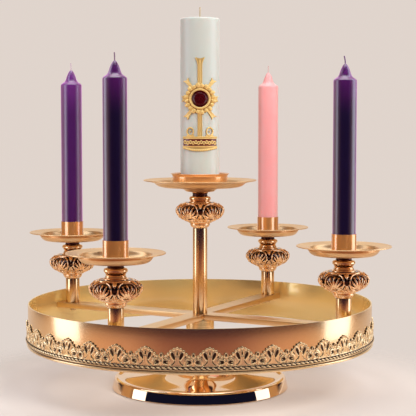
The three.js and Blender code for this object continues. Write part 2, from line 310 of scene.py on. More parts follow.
def hang_light(name, place, width, height, power, colour=(1, 1, 1)):
    """A rectangular soft light at a place in metres, turned to the middle of the stand."""
    data = bpy.data.lights.new(name, "AREA")
    data.shape = "RECTANGLE"
    data.size = width
    data.size_y = height
    data.energy = power
    data.color = colour
    lamp = bpy.data.objects.new(name, data)
    lamp.location = place
    lamp.rotation_euler = (LIGHT_AIM - place).to_track_quat("-Z", "Y").to_euler()
    lamp.visible_camera = False
    bpy.context.scene.collection.objects.link(lamp)
    return lamp


def seen_from_camera(right, near, up):
    """A place that is so far to the right, nearer and higher than the foot, as the camera sees it."""
    return right * TO_THE_RIGHT + near * TOWARDS_CAMERA + up * Vector((0, 0, 1))


hang_light("left_panel", seen_from_camera(-0.62, 0.13, 0.52), 0.28, 1.0, power=1.7, colour=COOL_WHITE)
right_panel = hang_light("right_panel", seen_from_camera(0.56, 0.09, 0.52), 0.28, 1.0, power=1.55,
                         colour=COOL_WHITE)
right_panel.visible_diffuse = False
right_wash = hang_light("right_wash", seen_from_camera(0.66, 0.05, 0.85), 0.3, 0.6, power=1.1, colour=COOL_WHITE)
right_wash.visible_glossy = False
hang_light("overhead", seen_from_camera(0, 0.2, 2.4), 1.8, 1.8, power=28)
front_fill = hang_light("front_fill", seen_from_camera(0.95, 1.7, 1.3), 1.2, 1.2, power=40)
front_fill.visible_glossy = False
print("lights hung:", [lamp.name for lamp in bpy.data.lights])

# %% [markdown]
# ## The floor
# The stand rests on a pale sheet that runs up behind it with no edge to be seen. A disc does the same from
# every side: near the stand it catches soft shadows, and further out it fades into the backdrop.

# %% Lay the floor
FLOOR_REACH = 4
FADE_START, FADE_END = 0.30, 0.56
bpy.ops.mesh.primitive_circle_add(vertices=96, radius=FLOOR_REACH, fill_type="NGON")
floor = bpy.context.object
floor.name = "studio_floor"
floor_paper, nodes, shader = new_finish("floor_paper", Roughness=0.9)
nodes.feed(shader.inputs["Base Color"], (0.77, 0.69, 0.63))
nodes.feed(shader.inputs["Alpha"], 1 - nodes.from_axis().clamped(FADE_START, FADE_END))
floor.data.materials.append(floor_paper)
print("floor laid, gone at", FADE_END, "metres from the middle")

# %% [markdown]
# ## Metal finishes
# All the brass is gilt, and what changes is how it was worked. Satin parts were brushed while they turned,
# which leaves fine rings, and those smear a reflection up and down: that is what an anisotropic shader does.
# The foot is polished and mirrors the room. Castings are bright where a buffing wheel reached, and dark brown
# in their hollows: partly their patina and partly painted shade, and the dark cores of the knops and the plate
# behind the cresting's openings are painted shade alone. A gilt piece is lacquered as well, which shows in two
# ways. A little of the milky lacquer is the plain colour seen where a mirror would be black, so the metallic
# share is often below one, and a clear coat on top gives small white highlights over a soft base.

# %% Mix the satin metal
SATIN = ((0.93, 0.66, 0.38), (0.90, 0.62, 0.30))
INNER_GOLD = (1.0, 0.74, 0.28)
INNER_METALLIC = 0.62


def satin_brass(name, lines, smooth=0.25, spread=0.5, inside=None, metallic=1.0, colours=SATIN, lacquer=0.0):
    """Brushed gilt brass. lines is how often the brush marks repeat along X, Y and Z, per metre.

    smooth is its least roughness, and spread how far brushing round the piece smears a reflection up and down.
    Within the radius called inside, which the brush doesn't reach, the gilding is yellower and milkier.
    metallic and lacquer are the shares that the text above explains.
    """
    material, nodes, shader = new_finish(name, Metallic=metallic, Anisotropic=spread, Anisotropic_Rotation=0.25,
                                         Coat_Weight=lacquer, Coat_IOR=2.2, Coat_Roughness=0.08)
    marks = nodes.noise(nodes.stretched(lines), 1.0, 3.0)
    clouds = nodes.noise(nodes.place(), 14.0)
    colour = nodes.blend(clouds * 0.6, *colours)
    if inside:
        outer = nodes.from_axis().clamped(inside - 0.0002, inside)
        colour = nodes.blend(outer, INNER_GOLD, colour)
        nodes.feed(shader.inputs["Metallic"], INNER_METALLIC + outer * (1 - INNER_METALLIC))
    nodes.feed(shader.inputs["Base Color"], colour)
    nodes.feed(shader.inputs["Roughness"], smooth + marks * 0.06 + clouds * 0.04)
    nodes.feed(shader.inputs["Normal"], nodes.bump(marks, 0.10, 0.0002))
    return material


print("satin metal mixed from", SATIN)

# %% Mix the polished metal and the castings
polished, nodes, shader = new_finish("polished_brass", Metallic=1.0)
clouds = nodes.noise(nodes.place(), 30.0, 3.0)
nodes.feed(shader.inputs["Base Color"], nodes.blend(clouds * 0.5, (0.99, 0.73, 0.48), (0.90, 0.60, 0.33)))
nodes.feed(shader.inputs["Roughness"], 0.02 + clouds * 0.03)


def cast_brass(name, bright, patina_and_painted_shade, grain, roughness, metallic=1.0, lacquer=0.0):
    """Cast gilt brass: bright where its relief stands proud, dark in its hollows as patina and painted shade."""
    material, nodes, shader = new_finish(name, Metallic=metallic, Coat_Weight=lacquer, Coat_IOR=2.0,
                                         Coat_Roughness=0.05)
    sand = nodes.noise(nodes.place(), grain, 3.0)
    # The relief paints the hollows dark: partly patina, partly painted shade.
    height = (nodes.relief() + (sand - 0.5) * 0.3).clamped(0.3, 0.65)
    nodes.feed(shader.inputs["Base Color"], nodes.blend(height, patina_and_painted_shade, bright))
    nodes.feed(shader.inputs["Roughness"], roughness + 0.12 - height * 0.12 + sand * 0.08)
    nodes.feed(shader.inputs["Normal"], nodes.bump(sand, 0.35, 0.0003))
    return material


# On the cresting the dark hollows are partly patina; the plate behind its openings and the rope's gaps are painted
# shade.
antique = cast_brass("antique_cast_brass", (0.97, 0.75, 0.42), (0.035, 0.015, 0.008), grain=900.0,
                     roughness=0.18, metallic=0.78, lacquer=0.3)
# The knops' dark core and hollows are painted shade.
knop_cast = cast_brass("polished_cast_brass", (1.0, 0.66, 0.36), (0.07, 0.022, 0.010), grain=500.0,
                       roughness=0.04, lacquer=0.5)
# The necks' waists and hollows are painted dark by their relief: painted shade.
neck_finish = cast_brass("polished_neck_brass", (0.95, 0.66, 0.38), (0.05, 0.020, 0.022), grain=60.0,
                         roughness=0.03)
# The lip's groove is painted dark by its relief: painted shade.
lip_finish = cast_brass("satin_lip_brass", (0.98, 0.72, 0.38), (0.06, 0.025, 0.012), grain=60.0,
                        roughness=0.14, metallic=0.7, lacquer=0.4)
print("polished metal and castings:", [m.name for m in (polished, antique, knop_cast, neck_finish, lip_finish)])

# %% Finish the satin parts, each as it was brushed and lacquered
TURNED_LINES = (12, 12, 2600)
COPPERY = ((1.0, 0.44, 0.12), (0.96, 0.40, 0.10))
ORANGE_GILT = ((0.90, 0.42, 0.13), (0.84, 0.38, 0.11))
YELLOW_GILT = ((0.98, 0.72, 0.38), (0.94, 0.66, 0.32))
# The pans' gilt is a darker copy of the satin gilt: painted shade.
PAN_GILT_PAINTED_DARKER = ((0.88, 0.60, 0.32), (0.84, 0.56, 0.27))
post_finish = satin_brass("fine_turned_brass", TURNED_LINES, smooth=0.12, spread=0.9)
stem_finish = satin_brass("satin_stem_brass", TURNED_LINES, smooth=0.22, spread=0.5, metallic=0.72,
                          colours=YELLOW_GILT)
pan_finish = satin_brass("satin_pan_brass", TURNED_LINES, smooth=0.32, spread=0.4, metallic=0.8,
                         colours=PAN_GILT_PAINTED_DARKER)
cup_finish = satin_brass("ringed_cup_brass", TURNED_LINES, smooth=0.26, spread=0.6, metallic=0.8,
                         colours=ORANGE_GILT, lacquer=0.8)
socket_finish = satin_brass("ringed_socket_brass", TURNED_LINES, smooth=0.32, spread=0.7, metallic=0.8,
                            colours=COPPERY, lacquer=1.0)
print("satin parts:", [m.name for m in (post_finish, stem_finish, pan_finish, cup_finish, socket_finish)])

# %% [markdown]
# ## Wax finishes
# Light goes a little way into wax and comes out again, which subsurface scattering does. Dyed wax has a pale
# bloom that shows along its edges, which is a sheen, and its gloss is a clear coat that thins out where the
# surface is seen flat on. Handling leaves faint clouds in the colour and the gloss. Near the top the colour is
# blended to a second one: the purple candles are painted lighter there, a painted glow of light through their
# thin tips, and the pillar is painted a little darker, as painted shade. The left candle has a lighter copy of
# the purple wax, which is painted light.

# %% Mix the waxes
TIP_START, TIP_END = 0.47, 0.545


def wax(name, colour, tip, sheen, glow, gloss=0.22, shine=1.7, bloom=0.35):
    """Dyed wax. tip is its colour near the top, which paints light on the purple candles and shade on the pillar;
    sheen is the weight and tint of its bloom, and glow how deep light goes.

    gloss is the clear coat's roughness, shine its index of refraction, and bloom the roughness of the sheen.
    """
    material, nodes, shader = new_finish(
        name,
        Subsurface_Weight=0.6,
        Subsurface_Radius=(1.0, 0.6, 0.6),
        Subsurface_Scale=glow,
        Specular_IOR_Level=0.0,
        Coat_Roughness=gloss,
        Coat_IOR=shine,
        Sheen_Weight=sheen[0],
        Sheen_Roughness=bloom,
        Sheen_Tint=sheen[1],
    )
    clouds = nodes.noise(nodes.stretched((18, 18, 5)), 1.0, 3.0)
    facing = nodes.add("ShaderNodeLayerWeight", None, {"Blend": 0.5}, "Facing")
    body = nodes.blend(clouds * 0.5, colour, tuple(0.75 * c for c in colour))
    # A colour painted near the top: a painted glow on the purple candles and painted shade on the pillar.
    painted_top_share = nodes.upwards(nodes.place()).clamped(TIP_START, TIP_END)
    nodes.feed(shader.inputs["Base Color"], nodes.blend(painted_top_share, body, tip))
    nodes.feed(shader.inputs["Roughness"], 0.45 + clouds * 0.10)
    nodes.feed(shader.inputs["Coat Weight"], facing.clamped(0.02, 0.25))
    nodes.feed(shader.inputs["Normal"], nodes.bump(clouds, 0.25, 0.001))
    return material


LILAC_BLOOM = (1.0, (0.85, 0.30, 0.95))
RED_BLOOM = (0.1, (0.8, 0.2, 0.2))
PINK, DARK_RED, BRIGHT_RED = (0.95, 0.43, 0.42), (0.060, 0.003, 0.005), (0.16, 0.012, 0.020)
# The purple tip is painted lighter: a painted glow of light through the thin tip.
purple_wax = wax("purple_wax", (0.0055, 0.004, 0.022), (0.07, 0.010, 0.10), LILAC_BLOOM, glow=0.001,
                 gloss=0.30, shine=2.1, bloom=0.41)
# A lighter copy of the purple wax for the left candle, which is painted light; its tip is painted lighter too.
purple_wax_painted_lighter = wax("purple_wax_painted_lighter", (0.060, 0.010, 0.090), (0.13, 0.022, 0.17), LILAC_BLOOM, glow=0.002,
                 gloss=0.32, shine=2.2, bloom=0.46)
pink_wax = wax("pink_wax", PINK, PINK, (0.3, (1.0, 0.6, 0.6)), glow=0.010, gloss=0.35)
# The pillar's colour near its top is darker: painted shade.
white_wax = wax("white_wax", (0.66, 0.69, 0.62), (0.57, 0.61, 0.555), (0.2, (1.0, 1.0, 1.0)), glow=0.010,
                gloss=0.4)
red_wax = wax("red_wax", DARK_RED, DARK_RED, RED_BLOOM, glow=0.001)
band_red = wax("band_red_wax", BRIGHT_RED, BRIGHT_RED, RED_BLOOM, glow=0.001)
print("waxes:", [m.name for m in (purple_wax, purple_wax_painted_lighter, pink_wax, white_wax, red_wax, band_red)])

# %% Mix the gilded wax and the cotton
def cotton(name, colour):
    """Braided cotton, stiff with wax."""
    material, nodes, shader = new_finish(name)
    braid = nodes.noise(nodes.stretched((900, 900, 500)), 1.0)
    darker = tuple(0.55 * c for c in colour)
    nodes.feed(shader.inputs["Base Color"], nodes.blend(braid, colour, darker))
    nodes.feed(shader.inputs["Roughness"], 0.6 + braid * 0.3)
    return material


gold_wax, nodes, shader = new_finish("gold_wax", Metallic=0.35)
dust = nodes.noise(nodes.place(), 1500.0)
# The gilding is darker in the relief's hollows: painted shade.
gilding = nodes.blend(nodes.relief().clamped(0.05, 0.85), (0.34, 0.15, 0.02), (0.88, 0.61, 0.20))
nodes.feed(shader.inputs["Base Color"], nodes.blend(dust * 0.35, gilding, (0.95, 0.74, 0.36)))
nodes.feed(shader.inputs["Roughness"], 0.32 + dust * 0.14)
nodes.feed(shader.inputs["Normal"], nodes.bump(dust, 0.2, 0.0003))
print("gilded wax and cotton mixed")

# %% [markdown]
# ## Turning on the lathe
# Nearly every round piece was turned, and Spin does the same: an outline is drawn in the XZ plane, point by
# point, and is swept once round the Z axis. The outline is a chain that starts as one corner of a plane and
# is extruded from place to place, as it would be drawn by hand.

# %% Tools to choose and weld
WELD_WITHIN = 0.005


def clear_choice():
    """Leaves edit mode and selects nothing."""
    if bpy.context.object and bpy.context.object.mode != "OBJECT":
        bpy.ops.object.mode_set(mode="OBJECT")
    bpy.ops.object.select_all(action="DESELECT")


def choose(piece):
    """Selects only this piece and makes it active, in object mode."""
    clear_choice()
    piece.select_set(True)
    bpy.context.view_layer.objects.active = piece


def weld(within=WELD_WITHIN):
    """In edit mode, joins all corners of the piece that lie within a distance, in millimetres."""
    bpy.ops.mesh.select_all(action="SELECT")
    bpy.ops.mesh.remove_doubles(threshold=within * MM)


print("corners within", WELD_WITHIN, "mm are welded")

# %% The lathe
BEVEL_ABOVE = math.radians(35)
SMOOTH_BELOW = math.radians(40)


def draw_chain(name, points):
    """A chain of straight edges through [x, z] points in millimetres, left in edit mode."""
    clear_choice()
    bpy.ops.mesh.primitive_plane_add(size=MM)
    piece = bpy.context.object
    piece.name = name
    bpy.ops.object.mode_set(mode="EDIT")
    bpy.ops.mesh.select_mode(type="VERT")
    bpy.ops.mesh.merge(type="CENTER")
    places = [Vector((x, 0, z)) * MM for x, z in points]
    bpy.ops.transform.translate(value=places[0])
    for here, there in zip(places, places[1:]):
        bpy.ops.mesh.extrude_region_move(TRANSFORM_OT_translate={"value": there - here})
    return piece


def turn(name, points, steps=96, softness=0.25):
    """A turned piece: a closed outline spun round the Z axis, with its sharp edges broken by the softness."""
    piece = draw_chain(name, [*points, points[0]])
    weld()
    bpy.ops.mesh.spin(steps=steps, angle=2 * math.pi, center=(0, 0, 0), axis=(0, 0, 1))
    weld()
    bpy.ops.mesh.normals_make_consistent(inside=False)
    choose(piece)
    if softness:
        bevel = piece.modifiers.new("broken_edges", "BEVEL")
        bevel.width = softness * MM
        bevel.segments = 2
        bevel.limit_method = "ANGLE"
        bevel.angle_limit = BEVEL_ABOVE
        bpy.ops.object.modifier_apply(modifier=bevel.name)
        bpy.ops.object.mode_set(mode="EDIT")
        weld()
        bpy.ops.object.mode_set(mode="OBJECT")
    bpy.ops.object.shade_smooth_by_angle(angle=SMOOTH_BELOW)
    return piece


print("lathe ready")

# %% Lines for an outline
def flowing(points, spans=5):
    """A smooth line through the points: a Catmull-Rom curve, with a few short spans for each stretch."""
    line = [Vector(p) for p in points]
    ends = [2 * line[0] - line[1], *line, 2 * line[-1] - line[-2]]
    out = []
    for a, b, c, d in zip(ends, ends[1:], ends[2:], ends[3:]):
        for step in range(spans):
            t = step / spans
            p = 0.5 * (2 * b + (c - a) * t + (2 * a - 5 * b + 4 * c - d) * t**2 + (3 * b - a - 3 * c + d) * t**3)
            out.append(tuple(p))
    out.append(tuple(line[-1]))
    return out


def raised(points, by):
    """The same outline, higher by a number of millimetres."""
    return [(x, z + by) for x, z in points]


def bow(centre, radius, start, end, steps=8):
    """Points on an arc, from one angle to another in degrees."""
    angles = [math.radians(start + (end - start) * i / steps) for i in range(steps + 1)]
    return [(centre[0] + radius * math.cos(a), centre[1] + radius * math.sin(a)) for a in angles]


print("a line through 3 points gets", len(flowing([(0, 0), (1, 1), (2, 0)])), "points")

# %% Tools to finish and copy a piece
def mark_depth(piece, deepest, proudest):
    """Gives a round piece its relief attribute: 0 at the deepest radius of its grooves, 1 at the proudest."""
    depths = piece.data.attributes.new("relief", "FLOAT", "POINT")
    for vertex, depth in zip(piece.data.vertices, depths.data):
        radius = vertex.co.xy.length / MM
        depth.value = min(1.0, max(0.0, (radius - deepest) / (proudest - deepest)))


def finish_piece(piece, material, slot, *nodes):
    """Gives a piece its material, lets it ride on the stand, and hides the solids that it stands for."""
    piece.data.materials.clear()
    piece.data.materials.append(material)
    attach(piece, "root")
    if nodes:
        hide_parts(*nodes)
    return piece


def copy_piece(piece, name, move=(0, 0, 0), turn_by=0.0):
    """A copy with its own mesh, turned round the Z axis and moved, in millimetres."""
    choose(piece)
    bpy.ops.object.duplicate()
    copy = bpy.context.object
    copy.name = name
    copy.rotation_euler = (0, 0, turn_by)
    copy.location = Vector(move) * MM
    bpy.ops.object.transform_apply(location=True, rotation=True, scale=True)
    return copy


print("finishing and copying ready")

# %% [markdown]
# ## The foot and the stem
# The foot is one spun shell: a sloping side, a rounded rim, and a hollow sweep that climbs to the stem. The
# sweep is a gentle slope with a high power added, so it is nearly flat at the rim and steep beside the stem.
# Its points crowd together where it bends most. The stem is a short wide tube with a round bead at its foot.

# %% Turn the foot
FOOT_RADIUS = high("foot_shell").x
FOOT_TOP = high("foot_shell").z
FOOT_BORE = 20
FOOT_WALL = 4
SWEEP_START, SWEEP_END = 136, 27
SWEEP_LOW, SWEEP_RISE, SWEEP_POWER = 18.6, 6.0, 6
SWEEP_STEPS, SWEEP_CROWDING = 24, 1.6


def sweep_height(radius):
    """How high the hollow sweep stands at a radius, in millimetres."""
    along = (SWEEP_START - radius) / (SWEEP_START - SWEEP_END)
    return SWEEP_LOW + SWEEP_RISE * along + (FOOT_TOP - SWEEP_LOW - SWEEP_RISE) * along**SWEEP_POWER


sweep_shares = [1 - (1 - i / SWEEP_STEPS) ** SWEEP_CROWDING for i in range(SWEEP_STEPS + 1)]
sweep_radii = [SWEEP_START - (SWEEP_START - SWEEP_END) * share for share in sweep_shares]
foot_side = flowing([(FOOT_RADIUS - 1.2, 0.4), (FOOT_RADIUS - 0.1, 1.2), (FOOT_RADIUS - 0.3, 2.6), (152.2, 9.0),
                     (150.2, 16.6)], 3)
foot_rim = flowing([(149.8, 17.8), (148.4, 19.4), (146.0, 20.3), (143.0, 20.1), (139.6, 18.9)], 4)
foot_outline = [
    *foot_side,
    *foot_rim,
    *[(r, sweep_height(r)) for r in sweep_radii],
    (FOOT_BORE, FOOT_TOP),
    (FOOT_BORE, FOOT_TOP - FOOT_WALL),
    *[(r - 2, sweep_height(r) - FOOT_WALL) for r in reversed(sweep_radii[1:-3:3])],
    (141, 14.6),
    (149, 0.4),
]
foot = turn("foot_spun", foot_outline, 160, softness=0.4)
finish_piece(foot, polished, "polished_gold", "foot_shell")
print("foot:", len(foot.data.polygons), "faces")

# %% Turn the stem
stem_low, stem_high = low("stem").z, high("stem").z
stem_outline = [
    (FOOT_BORE, stem_low),
    *bow((25.5, stem_low + 3), 2.5, -80, 80, 6),
    (24.5, stem_low + 7),
    (24.5, stem_high),
    (FOOT_BORE, stem_high),
]
stem = turn("stem_turned", stem_outline, 96, softness=0.4)
finish_piece(stem, stem_finish, "satin_gold", "stem")
print("stem:", len(stem.data.polygons), "faces")

# %% [markdown]
# ## The cross of arms
# Four flat bars, cut from one plate. A plane makes the middle square. Each of its four sides is extruded
# outwards into an arm, and the cross is then extruded upwards. Its edges are broken with a small bevel,
# because a bright line along an edge is what shows that a bar has thickness.

# %% Cut the arms
ARM_WIDTH = 30
ARM_REACH = high("arm_cross").x - 0.2
ARM_THICKNESS = 9.7
POST_FOOT = low("arm_cross").z + ARM_THICKNESS
clear_choice()
bpy.ops.mesh.primitive_plane_add(size=ARM_WIDTH * MM, location=(0, 0, low("arm_cross").z * MM))
arms = bpy.context.object
arms.name = "arm_cross_cut"
bpy.ops.object.transform_apply(location=True)
bpy.ops.object.mode_set(mode="EDIT")
for outwards in (Vector((1, 0, 0)), Vector((0, 1, 0)), Vector((-1, 0, 0)), Vector((0, -1, 0))):
    bpy.ops.mesh.select_all(action="DESELECT")
    bpy.ops.mesh.select_mode(type="EDGE")
    mesh = bmesh.from_edit_mesh(arms.data)
    for edge in mesh.edges:
        middle = (edge.verts[0].co + edge.verts[1].co) / 2
        edge.select = (middle.xy - outwards.xy * ARM_WIDTH / 2 * MM).length < MM
    bmesh.update_edit_mesh(arms.data)
    step = outwards * (ARM_REACH - ARM_WIDTH / 2) * MM
    bpy.ops.mesh.extrude_region_move(TRANSFORM_OT_translate={"value": step})
bpy.ops.mesh.select_all(action="SELECT")
bpy.ops.mesh.extrude_region_move(TRANSFORM_OT_translate={"value": (0, 0, ARM_THICKNESS * MM)})
bpy.ops.mesh.select_all(action="SELECT")
bpy.ops.mesh.normals_make_consistent(inside=False)
bpy.ops.object.mode_set(mode="OBJECT")
edges = arms.modifiers.new("broken_edges", "BEVEL")
edges.width = 0.7 * MM
edges.segments = 3
bpy.ops.object.modifier_apply(modifier=edges.name)
bpy.ops.object.shade_smooth_by_angle(angle=SMOOTH_BELOW)
arm_finish = satin_brass("satin_flat_brass", (60, 60, 60))
finish_piece(arms, arm_finish, "satin_gold", "arm_cross")
print("arms:", len(arms.data.polygons), "faces")

# %% [markdown]
# ## The ring band
# The band is a strip of sheet rolled into a hoop, with soft edges. It is brushed on its outside only, so its
# finish changes just under that surface. The lip under the cresting is a thin moulding of two beads with a
# groove between them. Both are turned, with three steps to each half arch of the cresting.

# %% Turn the band
RING_STEPS = 228
BAND_BOTTOM = RING_BOTTOM + 5.6
BAND_INSIDE = RING_RADIUS - 2.4
BRUSHED_FROM = RING_RADIUS - 0.8
band_outline = [(BAND_INSIDE, BAND_BOTTOM), (RING_RADIUS, BAND_BOTTOM), (RING_RADIUS, RING_TOP),
                (BAND_INSIDE, RING_TOP)]
band = turn("ring_band_rolled", band_outline, RING_STEPS, softness=0.6)
band_finish = satin_brass("satin_band_brass", TURNED_LINES, smooth=0.20, spread=0.6, inside=BRUSHED_FROM * MM,
                          lacquer=0.35)
finish_piece(band, band_finish, "satin_gold", "ring_band")
print("band:", len(band.data.polygons), "faces")

# %% Turn the lip
LIP_INSIDE = RING_RADIUS + 0.2
lip_outline = [
    (LIP_INSIDE, 81.2),
    (LIP_INSIDE + 1.6, 81.2),
    *bow((LIP_INSIDE + 0.5, 83.1), 2.0, -60, 70, 6),
    (LIP_INSIDE + 0.3, 85.2),
    (LIP_INSIDE + 0.3, 86.3),
    *bow((LIP_INSIDE + 0.3, 87.7), 1.3, -70, 70, 6),
    (LIP_INSIDE, 89.4),
]
lip = turn("lower_lip_turned", lip_outline, RING_STEPS, softness=0)
# The relief paints the groove dark: painted shade.
mark_depth(lip, LIP_INSIDE + 0.2, LIP_INSIDE + 1.5)
finish_piece(lip, lip_finish, "antique_gold", "lower_lip")
print("lip:", len(lip.data.polygons), "faces")

# %% [markdown]
# ## Posts, necks, pans and sockets
# Each branch is a stack of turned pieces. One of each is turned over the floor's middle and copied to the
# four places, so all the branches are alike, as they are when one pattern is used for all. Outlines that
# hang together are drawn from a height of 0 and then raised to where the solid stands.

# %% How a post and a neck are turned
POST_RADIUS = 12.7


def turn_post(name, node):
    """A plain post from the arms' top face to the top of the solid that it stands for."""
    bottom, top = POST_FOOT + 0.1, high(node).z
    outline = [(POST_RADIUS - 2, bottom), (POST_RADIUS, bottom), (POST_RADIUS, top), (POST_RADIUS - 2, top)]
    return turn(name, outline, 64)


def turn_neck(name, bottom, top):
    """A low collar, a round bead above it, and then a hollow waist that flares up to the pan."""
    outline = [
        (9, bottom),
        (17.4, bottom),
        *flowing([(17.4, bottom + 0.6), (16.6, bottom + 1.6), (16.2, bottom + 3.0), (15.2, bottom + 4.0)], 4),
        *bow((15.4, top - 11.4), 3.7, -66, 66, 10),
        *flowing([(14.2, top - 7.6), (13.0, top - 6.2), (12.9, top - 4.0), (13.8, top - 1.8), (15.8, top)], 4),
        (9, top),
    ]
    neck = turn(name, outline, 64, softness=0.15)
    # The relief paints the waist and hollows dark: painted shade.
    mark_depth(neck, 12.9, 15.3)
    return neck


print("posts stand on the arms, at a height of", round(POST_FOOT, 1), "mm")

# %% Draw the outlines of the pan and the socket
PAN_RADIUS = high("right_pan").x - BRANCHES["right"].x
pan_outline = raised([
    (10, 0),
    *flowing([(46, 0), (51, 0.9), (55.5, 4.0), (59.0, 9.0)], 4),
    (58.8, 9.8),
    (57.3, 10.2),
    (57.4, 11.4),
    *flowing([(60.4, 12.2), (65, 12.9), (70, 13.5), (PAN_RADIUS - 1.8, 14.6)], 4),
    *bow((PAN_RADIUS - 0.95, 15.2), 0.95, -110, 130, 8),
    *flowing([(PAN_RADIUS - 2.0, 15.6), (70, 14.8), (64, 13.9), (59.4, 13.5)], 4),
    *flowing([(57.4, 13.0), (56.2, 11.0), (55.4, 8.0)], 3),
    *flowing([(53.6, 4.8), (50, 2.5), (45, 1.6)], 4),
    (10, 1.6),
], low("right_pan").z)
SOCKET_HEIGHT = high("right_socket").z - low("right_socket").z
SOCKET_OUTSIDE, SOCKET_INSIDE = 20.4, 19.3
socket_outline = raised([
    (8, 0),
    (23, 0),
    *flowing([(23, 0.8), (21.2, 1.5), (SOCKET_OUTSIDE, 3)], 3),
    (SOCKET_OUTSIDE, SOCKET_HEIGHT),
    (SOCKET_INSIDE, SOCKET_HEIGHT),
    (SOCKET_INSIDE, 2),
    (8, 2),
], low("right_socket").z)
print("pan radius", round(PAN_RADIUS, 1), "socket height", round(SOCKET_HEIGHT, 1))

# %% Turn one of each branch piece
small_neck = turn_neck("neck_pattern", low("right_neck").z, high("right_neck").z)
small_pan = turn("pan_pattern", pan_outline, 128, softness=0.2)
small_socket = turn("socket_pattern", socket_outline, 96, softness=0.25)
post_pattern = turn_post("post_pattern", "right_post")
print("patterns:", [piece.name for piece in (small_neck, small_pan, small_socket, post_pattern)])

# %% Copy the turned pieces to the four branches
patterns = [
    (post_pattern, "post", post_finish, "polished_gold"),
    (small_neck, "neck", neck_finish, "polished_gold"),
    (small_pan, "pan", pan_finish, "satin_gold"),
    (small_socket, "socket", socket_finish, "satin_gold"),
]
for pattern, word, metal, slot in patterns:
    for side in SIDES:
        piece = copy_piece(pattern, f"{side}_{word}_turned", BRANCHES[side])
        finish_piece(piece, metal, slot, f"{side}_{word}")
    bpy.data.objects.remove(pattern)
print("branch pieces copied to", SIDES)

# %% [markdown]
# ## The middle branch
# The middle branch has the same neck on a taller post, a wider and shallower pan, and a cup with a flared
# lip that the pillar candle stands in.

# %% Turn the middle branch
CENTRE_PAN_LOW = low("centre_pan").z
CENTRE_RADIUS = high("centre_pan").x
CENTRE_FLOOR = 352.0 - CENTRE_PAN_LOW
centre_pan_outline = raised([
    (10, 0),
    (22, 0),
    *flowing([(24.5, 0.6), (28, 3.4), (33, 5.6), (45, 6.8), (62, 7.4), (72, 9.6), (77.5, 13.2)], 4),
    *flowing([(79.5, 15), (84, 16.4), (91, 18), (CENTRE_RADIUS - 1.8, 19.3)], 4),
    *bow((CENTRE_RADIUS - 0.95, 19.85), 0.95, -110, 130, 8),
    *flowing([(CENTRE_RADIUS - 2.0, 20.2), (90, 19.2), (83, 18.1), (78.4, 17.6)], 4),
    *flowing([(77.2, 16.6), (75.8, 14.4), (74.2, 12.6)], 3),
    *flowing([(71, 10.8), (66, CENTRE_FLOOR + 0.2), (60, CENTRE_FLOOR)], 4),
    (10, CENTRE_FLOOR),
], CENTRE_PAN_LOW)
cup_low, cup_high = low("centre_cup").z, high("centre_cup").z
cup_outline = [
    (10, cup_low),
    (47.2, cup_low),
    (47.8, cup_low + 0.8),
    (47.8, cup_high - 5.5),
    *flowing([(47.8, cup_high - 4.6), (48.6, cup_high - 2.6), (50.4, cup_high - 1.2), (51.1, cup_high - 0.6)], 4),
    (50.6, cup_high),
    *flowing([(49.2, cup_high - 0.6), (47, cup_high - 2.4), (46.3, cup_high - 5)], 4),
    (46.3, cup_low + 2),
    (10, cup_low + 2),
]
centre_pieces = [
    (turn_post("centre_post_turned", "centre_post"), post_finish, "polished_gold", "centre_post"),
    (turn_neck("centre_neck_turned", low("centre_neck").z, high("centre_neck").z), neck_finish, "polished_gold",
     "centre_neck"),
    (turn("centre_pan_turned", centre_pan_outline, 160, softness=0.2), pan_finish, "satin_gold", "centre_pan"),
    (turn("centre_cup_turned", cup_outline, 128, softness=0.2), cup_finish, "satin_gold", "centre_cup"),
]
for piece, metal, slot, node in centre_pieces:
    finish_piece(piece, metal, slot, node)
print("middle branch turned")

# %% [markdown]
# ## Candles and wicks
# A plain candle is a cylinder that was dipped and drawn to a tip: it has a round shoulder, and hollows from
# there up to the wick. The pillar has a flat top with a rounded edge. Wicks are thin and never quite
# straight, so each is a short tube along a leaning line.

# %% Turn the candles
CANDLE_RADIUS = 19.05
SHOULDER = 530.9
candle_low = low("right_candle").z
tip_shape = [(CANDLE_RADIUS, -1.6), (18.7, 0.4), (17, 2.4), (13.6, 4.6), (11.2, 7), (9.5, 10.6), (8.1, 15),
             (6.6, 19), (4.8, 22.6), (2.8, 25.6), (1.2, 27)]
candle_outline = [
    (2, candle_low),
    (CANDLE_RADIUS - 1, candle_low),
    (CANDLE_RADIUS, candle_low + 1),
    *flowing([(r, SHOULDER + z) for r, z in tip_shape], 3),
    (0.5, SHOULDER + 26.6),
    (0.5, candle_low + 10),
]
candle = turn("candle_pattern", candle_outline, 72, softness=0)
for side in SIDES:
    # The left candle gets the lighter copy of the purple wax: painted light.
    colour = {"rear": pink_wax, "left": purple_wax_painted_lighter}.get(side, purple_wax)
    slot = "pink_wax" if side == "rear" else "purple_wax"
    piece = copy_piece(candle, f"{side}_candle_dipped", BRANCHES[side])
    finish_piece(piece, colour, slot, f"{side}_candle")
bpy.data.objects.remove(candle)
print("candles turned for", SIDES)

# %% Turn the pillar candle
PILLAR_RADIUS = high("centre_candle").x
PILLAR_LOW, PILLAR_TOP = low("centre_candle").z, high("centre_candle").z
pillar_outline = [
    (3.3, PILLAR_LOW),
    (PILLAR_RADIUS, PILLAR_LOW),
    *bow((PILLAR_RADIUS - 3.2, PILLAR_TOP - 3.2), 3.2, 0, 75, 8),
    (24, PILLAR_TOP - 0.3),
    *flowing([(12, PILLAR_TOP - 0.5), (5, PILLAR_TOP - 0.9), (1.4, PILLAR_TOP - 0.4)], 3),
    (1.4, PILLAR_LOW + 30),
    (3.3, PILLAR_LOW + 28),
]
pillar = turn("centre_candle_cast", pillar_outline, 96, softness=0)
finish_piece(pillar, white_wax, "white_wax", "centre_candle")
print("pillar candle:", round(2 * PILLAR_RADIUS), "mm across")

